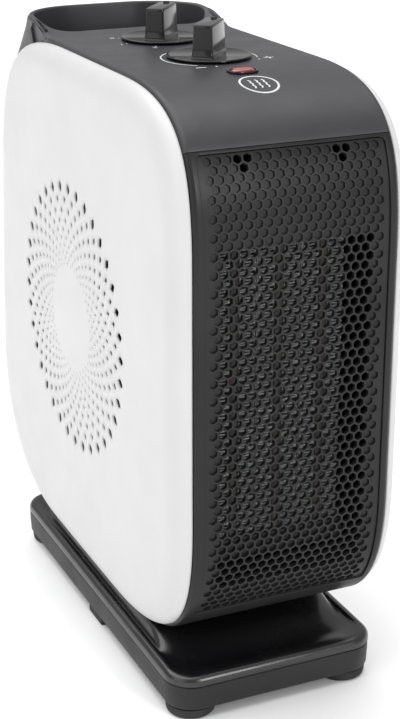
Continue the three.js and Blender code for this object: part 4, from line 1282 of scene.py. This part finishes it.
# The collar's section: heights from the surface and reaches beyond the lens, in mm.
COLLAR_SECTION = ((-3, 0.2), (-0.9, 0.2), (-0.1, 0.7), (0, 1.1), (-0.1, 1.5), (-1.2, 1.9))
COLLAR_PROUD = 0.35 * MM
COLLAR_WALL = 0.15 * MM
LENS_PROUD = 0.1 * MM


def lens():
    """A low domed lens in a dark collar."""
    half = (lens_high - lens_low) / 2
    rim_z = TOP + LENS_PROUD
    bm = bmesh.new()
    rings = []
    for share, z in ((1, lens_low.z), (1, rim_z - 0.2 * MM), (0.95, rim_z + 0.2 * MM),
                     (0.82, rim_z + 0.6 * MM), (0.55, lens_high.z - 0.15 * MM),
                     (0.2, lens_high.z)):
        rings.append(lens_ring(half, share, z))
    loft(bm, rings, cap_start=True, cap_end=True)
    piece("power_lens", bm, "heater", "lens_red", ("indicator_lens",), sharp=60)
    collar = bmesh.new()
    surface = TOP + COLLAR_PROUD
    loft(collar, [lens_ring(half, 1, surface + drop * MM, reach)
                  for drop, reach in COLLAR_SECTION])
    obj = piece("power_lens_collar", collar, "heater", "knob_black",
                inside=Vector((lens_middle.x, lens_middle.y, TOP - 30 * MM)))
    thicken(obj, COLLAR_WALL)


def lens_ring(half, share, z, grow=0.0):
    """The lens's outline, scaled by a share and grown by some millimetres, at a height."""
    a = half.x * share + grow * MM
    b = half.y * share + grow * MM
    return [p + Vector((lens_middle.x, 0, 0)) for p in
            rounded_ring(a, lens_middle.y - b, lens_middle.y + b, b * 0.98, z, 8)]


PRINT_PROUD = 0.06 * MM
PRINT_DEPTH = 0.05 * MM
STROKE = 0.36
# The marks' distances from their dial's axis, and how much the arc widens, in mm.
SCALE_OUTER = 22.2
SCALE_INNER = 21.7
SCALE_TAPER = 0.3
NUMBER_REACH = 24


def printed(name, shapes):
    """Flat shapes in (x, y) seen from above, laid on the top cover as a thin print."""
    bm = bmesh.new()
    for shape in shapes:
        bm.faces.new([bm.verts.new((p[0], p[1], 0)) for p in shape])
    for v in bm.verts:
        v.co = wrapped(v.co.x, band_at(v.co.x, v.co.y), -PRINT_PROUD)
    bmesh.ops.recalc_face_normals(bm, faces=bm.faces[:])
    for f in bm.faces:
        f.normal_update()
    down = [f for f in bm.faces if f.normal.z < 0]
    bmesh.ops.reverse_faces(bm, faces=down)
    obj = finish_mesh(name, bm, PRINT_WHITE)
    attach(obj, "heater")
    thicken(obj, PRINT_DEPTH)


def ring_part(cx, cy, inner, outer, start, end, steps=None):
    """Quads of a flat ring's part, in degrees. inner and outer are functions of the share."""
    steps = steps or max(int(abs(end - start) / 6), 2)
    quads = []
    for i in range(steps):
        shares = (i / steps, (i + 1) / steps)
        corners = []
        for share, radius in ((shares[0], inner), (shares[1], inner), (shares[1], outer),
                              (shares[0], outer)):
            turn = math.radians(start + (end - start) * share)
            reach = radius(share) * MM
            corners.append((cx + reach * math.cos(turn), cy + reach * math.sin(turn)))
        quads.append(corners)
    return quads


def dot(cx, cy, radius, steps=12):
    """A printed dot, its radius in mm."""
    return [[(cx + radius * MM * math.cos(TURN * i / steps),
              cy + radius * MM * math.sin(TURN * i / steps)) for i in range(steps)]]


def bar(cx, cy, length, width, turn):
    """A short printed bar, centred, at an angle in degrees."""
    along = Vector((math.cos(math.radians(turn)), math.sin(math.radians(turn))))
    across = Vector((-along.y, along.x))
    corners = ((-1, -1), (1, -1), (1, 1), (-1, 1))
    return [[tuple(Vector((cx, cy)) + along * a * length / 2 * MM + across * b * width / 2 * MM)
             for a, b in corners]]


def digit(text, cx, cy, turn, size=2.6):
    """A plain number drawn with straight strokes."""
    half_w, half_h = size * 0.28, size * 0.5
    strokes = {"1": [(0, 0, 2 * half_h, 90)],
               "2": [(0, half_h, 2 * half_w, 0), (0, 0, 2 * half_w, 0),
                     (0, -half_h, 2 * half_w, 0), (half_w, half_h / 2, half_h, 90),
                     (-half_w, -half_h / 2, half_h, 90)],
               "0": [(0, half_h, 2 * half_w, 0), (0, -half_h, 2 * half_w, 0),
                     (half_w, 0, 2 * half_h, 90), (-half_w, 0, 2 * half_h, 90)]}
    shapes = []
    rotation = Matrix.Rotation(math.radians(turn), 2)
    for x, y, length, angle in strokes[text]:
        place = rotation @ Vector((x, y)) * MM
        shapes += bar(cx + place.x, cy + place.y, length + 0.34, STROKE, angle + turn)
    return shapes


def around(spot, turn, reach):
    """A place round a spot, at a turn in degrees and a reach in mm."""
    return (spot.x + reach * MM * math.cos(math.radians(turn)),
            spot.y + reach * MM * math.sin(math.radians(turn)))


def dial_marks():
    """An arc that widens round the thermostat, and numbers round the mode switch."""
    front = knob_spots["thermostat_knob"]
    rear = knob_spots["mode_knob"]
    shapes = ring_part(front.x, front.y, lambda t: SCALE_INNER - SCALE_TAPER * t,
                       lambda t: SCALE_OUTER, -22, 232, 72)
    shapes += dot(*around(front, -106, 23), 0.6) + dot(*around(front, -35, 23), 0.6)
    shapes += bar(*around(front, -122, 26), 5, 0.9, 0)
    shapes += bar(*around(front, -24, 27), 5, 0.9, 0) + bar(*around(front, -24, 27), 5, 0.9, 90)
    printed("thermostat_scale", shapes)
    shapes = []
    for text, turn in (("0", 150), ("1", 195), ("2", 240)):
        shapes += digit(text, *around(rear, turn, NUMBER_REACH), 0)
        shapes += dot(*around(rear, turn, 20.8), 0.45)
    shapes += dot(*around(rear, -55, 22.5), 0.9) + dot(*around(rear, 30, 21.5), 0.5)
    printed("mode_scale", shapes)


GLYPH_Y = -86.5 * MM
GLYPH_RADII = (7.9, 8.9)
STROKE_GAP = 3.2 * MM
STROKE_RISE = 1.35 * MM
STROKE_PARTS = 6
STROKE_LEAN = 24


def heat_glyph():
    """A plain ring with three short heat strokes in it."""
    inner, outer = GLYPH_RADII
    shapes = ring_part(0, GLYPH_Y, lambda t: inner, lambda t: outer, 0, 360, 60)
    for i in (-1, 0, 1):
        for k in range(STROKE_PARTS):
            y = GLYPH_Y + (k - (STROKE_PARTS - 1) / 2) * STROKE_RISE
            lean = STROKE_LEAN if k % 2 else -STROKE_LEAN
            shapes += bar(i * STROKE_GAP, y, 1.75, 0.75, 90 + lean)
    printed("heat_glyph", shapes)


# ---------------------------------------------------------------------------
# Heating block
# ---------------------------------------------------------------------------

FIN_PITCH = 2.7 * MM
FIN_SHEET = 0.16 * MM
FIN_EDGE = 0.45 * MM
FIN_EDGE_DEPTH = 0.5 * MM
FIN_BEND = 0.6 * MM
FIN_PLATE = 0.3 * MM


def ribbon(name, points, back, thickness, replaces, material):
    """A folded strip that runs back from a line of points."""
    bm = bmesh.new()
    verts = [bm.verts.new(p) for p in points]
    edges = [bm.edges.new(pair) for pair in zip(verts, verts[1:])]
    grow_edges(bm, edges, lambda co: Vector((co.x, back, co.z)))
    obj = piece(name, bm, "heater", "fin_aluminium", replaces, material, sharp=60)
    modifier = obj.modifiers.new("sheet", "SOLIDIFY")
    modifier.thickness = thickness
    modifier.offset = 0


def fin(node):
    """One corrugated strip that runs to and fro between its two side plates."""
    low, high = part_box(node)
    folds = 2 * round((high.z - low.z) / FIN_PITCH)
    step = (high.z - low.z) / folds
    points = []
    for i in range(folds):
        near, far = (low.x, high.x) if i % 2 == 0 else (high.x, low.x)
        bend = math.copysign(FIN_BEND, far - near)
        z = low.z + step * i
        points += [Vector((near + bend, low.y, z + 0.3 * step)),
                   Vector(((near + far) / 2, low.y, z + 0.5 * step)),
                   Vector((far - bend, low.y, z + 0.7 * step))]
        if i < folds - 1:
            points.append(Vector((far - bend / 3, low.y, z + step)))
    ribbon(f"{node}_folds", points, high.y, FIN_SHEET, (node,), None)
    # The front edge strip is a near-white painted highlight in front of the darker folds.
    ribbon(f"{node}_edges", points, low.y + FIN_EDGE_DEPTH, FIN_EDGE, (), FIN_EDGE_HIGHLIGHT)
    for i, x in enumerate((low.x, high.x - FIN_PLATE)):
        plate = block(Vector((x, low.y + FIN_SHEET, low.z)),
                      Vector((x + FIN_PLATE, high.y, high.z)))
        piece(f"{node}_plate_{i + 1}", plate, "heater", "fin_aluminium")


def softened_block(node, body, slot, width):
    """A node that is a plain block in the frame gets rounded edges."""
    low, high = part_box(node)
    obj = piece(f"{node}_body", block(low, high), body, slot, (node,))
    soften(obj, width, 2)


# ---------------------------------------------------------------------------
# Back and insides
# ---------------------------------------------------------------------------

GLAND_BORE = 3.8 * MM
GLAND_FLANGE = 1.6 * MM
GLAND_NECK = 6 * MM
GLAND_EDGE = 0.8 * MM
GLAND_LIP = 0.7 * MM
# The dished face of the flange, as shares of its radius and depths.
GLAND_DISH = ((0.72, 0.15 * MM), (0.66, 0.5 * MM), (0.58, 0.5 * MM))


def cord_gland():
    """A stepped collar with a rolled lip, round the cord's hole."""
    low, high = gland_low, gland_high
    radius = (high.x - low.x) / 2
    length = high.y - low.y
    profile = [(GLAND_BORE, -length), (GLAND_NECK, -length), (GLAND_NECK, -GLAND_FLANGE)]
    profile += [(radius - 0.4 * MM, -GLAND_FLANGE), (radius, -GLAND_FLANGE + 0.3 * MM)]
    profile += arc(radius - GLAND_EDGE, -GLAND_EDGE, GLAND_EDGE, 0, 90, 4)
    profile += [(radius * share, -depth) for share, depth in GLAND_DISH]
    profile += arc(GLAND_BORE + GLAND_LIP, -GLAND_LIP, GLAND_LIP, 90, 180, 4)
    profile += [(GLAND_BORE, -length)]
    centre = Vector((gland_axis.x, high.y, gland_axis.z))
    bm = turned(profile, centre, "Y", 48)
    piece("cord_inlet", bm, "heater", "foot_rubber", ("cord_gland",))


IMPELLER_BLADES = 40
BLADE_STEPS = 5
BLADE_REACH = 10 * MM
BLADE_CURVE = 0.16
BLADE_SHEET = 0.9 * MM
RING_HEIGHT = 2 * MM
# The disc with its hub, as radii and heights, out to where the rim begins.
HUB_PROFILE = ((2.8 * MM, 16 * MM), (6 * MM, 16 * MM), (8 * MM, 13 * MM), (12 * MM, 3 * MM))
HUB_TOP = HUB_PROFILE[0]


def impeller():
    """Forward-curved blades between a ring and a hubbed disc."""
    outer = (fan_high.z - fan_low.z) / 2
    inner = outer - BLADE_REACH
    x0, x1 = fan_low.x, fan_high.x
    bm = bmesh.new()
    verts = []
    for i in range(BLADE_STEPS + 1):
        share = i / BLADE_STEPS
        reach = inner + (outer - inner - 0.4 * MM) * share
        turn = BLADE_CURVE * share * share
        verts.append(bm.verts.new((x0 + 1 * MM, FAN.y + reach * math.cos(turn),
                                   FAN.z + reach * math.sin(turn))))
    edges = [bm.edges.new(pair) for pair in zip(verts, verts[1:])]
    grow_edges(bm, edges, lambda co: Vector((x1 - 1 * MM, co.y, co.z)))
    bmesh.ops.solidify(bm, geom=bm.faces[:], thickness=BLADE_SHEET)
    bmesh.ops.recalc_face_normals(bm, faces=bm.faces[:])
    bmesh.ops.spin(bm, geom=bm.verts[:] + bm.edges[:] + bm.faces[:],
                   cent=(0, FAN.y, FAN.z), axis=(1, 0, 0), angle=TURN,
                   steps=IMPELLER_BLADES, use_duplicate=True)
    piece("impeller_blades", bm, "blower", "inner_plastic", ("impeller",))
    ring = turned([(inner, 0), (outer, 0), (outer, RING_HEIGHT), (inner, RING_HEIGHT),
                   (inner, 0)], Vector((x0, FAN.y, FAN.z)), "X", 72)
    piece("impeller_ring", ring, "blower", "inner_plastic")
    rim = [(outer - 1 * MM, 2 * MM), (outer, 1 * MM), (outer, 0), (HUB_TOP[0], 0), HUB_TOP]
    hub = turned([*HUB_PROFILE, *rim], Vector((x1, FAN.y, FAN.z)), "X", 72)
    bmesh.ops.transform(hub, matrix=Matrix.Translation((2 * x1, 0, 0))
                        @ Matrix.Diagonal((-1, 1, 1, 1)), verts=hub.verts[:])
    piece("impeller_disc", hub, "blower", "inner_plastic")


# ---------------------------------------------------------------------------
# Camera, floor and lights
# ---------------------------------------------------------------------------

CAMERA_LENS = 79.83
CAMERA_SENSOR = 36
CAMERA_PLACE = (-0.3011, -0.6930, 0.4178)
CAMERA_PITCH = math.radians(69.36)
CAMERA_HEADING = math.radians(-24.27)
AIM = (0, 0, 0.15)
SUN_POWER = 3.0
SUN_SPREAD = math.radians(80)
SUN_TILT = (math.radians(-12), math.radians(-10), 0)
WORLD_STRENGTH = 0.5
FLOOR_SIZE = 6


def camera():
    data = bpy.data.cameras.new("camera")
    data.lens = CAMERA_LENS
    data.sensor_width = CAMERA_SENSOR
    obj = bpy.data.objects.new("camera", data)
    obj.location = CAMERA_PLACE
    obj.rotation_euler = (CAMERA_PITCH, 0, CAMERA_HEADING)
    bpy.context.scene.collection.objects.link(obj)
    bpy.context.scene.camera = obj


def soft_light(name, place, size, power):
    """A rectangular light that faces the heater's middle."""
    data = bpy.data.lights.new(name, "AREA")
    data.shape = "RECTANGLE"
    data.size, data.size_y = size
    data.energy = power
    obj = bpy.data.objects.new(name, data)
    obj.location = place
    obj.rotation_euler = (Vector(AIM) - Vector(place)).to_track_quat("-Z", "Y").to_euler()
    bpy.context.scene.collection.objects.link(obj)


def floor():
    """A pale floor, far wider than the heater."""
    bm = bmesh.new()
    bmesh.ops.create_grid(bm, x_segments=1, y_segments=1, size=FLOOR_SIZE)
    shader = Shader("floor_finish", (0.93, 0.93, 0.93), 0.9)
    shader.tint(shader.noise(3, 2), (0.91, 0.91, 0.91))
    finish_mesh("floor", bm, shader.material)


def overhead_sun():
    data = bpy.data.lights.new("overhead", "SUN")
    data.energy = SUN_POWER
    data.angle = SUN_SPREAD
    obj = bpy.data.objects.new("overhead", data)
    obj.rotation_euler = SUN_TILT
    bpy.context.scene.collection.objects.link(obj)


def studio():
    """An even white surround, a wide sun and two soft lights."""
    world = bpy.data.worlds.new("studio")
    world.use_nodes = True
    background = world.node_tree.nodes["Background"]
    background.inputs["Color"].default_value = (1, 1, 1, 1)
    background.inputs["Strength"].default_value = WORLD_STRENGTH
    bpy.context.scene.world = world
    overhead_sun()
    soft_light("key", (-1.9, -0.7, 0.9), (1.6, 1.2), 7)
    soft_light("front", (0.5, -1.8, 0.9), (0.4, 0.9), 12)
    bpy.context.scene.view_settings.view_transform = "Standard"


# ---------------------------------------------------------------------------
# Making
# ---------------------------------------------------------------------------

camera()
floor()
studio()

for part in frame["record"]["subparts"]:
    node = frame["nodes"][part["node"]]
    node.data.materials.clear()
    node.data.materials.append(FINISH[part["material_slot"]])

side_cover("white_cover_left", -1, "side_cover_left")
side_cover("white_cover_right", 1, "side_cover_right")
front_grille()
front_frame()
top_cover()
rear_shell()
base_lid()
base_tray()
for end in ("front", "back"):
    for side in ("left", "right"):
        foot(f"foot_{end}_{side}")
for side in ("left", "right"):
    side_rest(f"side_rest_{side}")
for i in range(4):
    base_screw(f"base_screw_{i + 1}")
turntable()
knob("thermostat_knob", "thermostat_dial")
knob("mode_knob", "mode_dial")
lens()
dial_marks()
heat_glyph()
for i in range(6):
    fin(f"ptc_fin_{i + 1}")
for i in range(3):
    softened_block(f"ptc_bar_{i + 1}", "heater", "ptc_ceramic", 0.4 * MM)
cord_gland()
impeller()
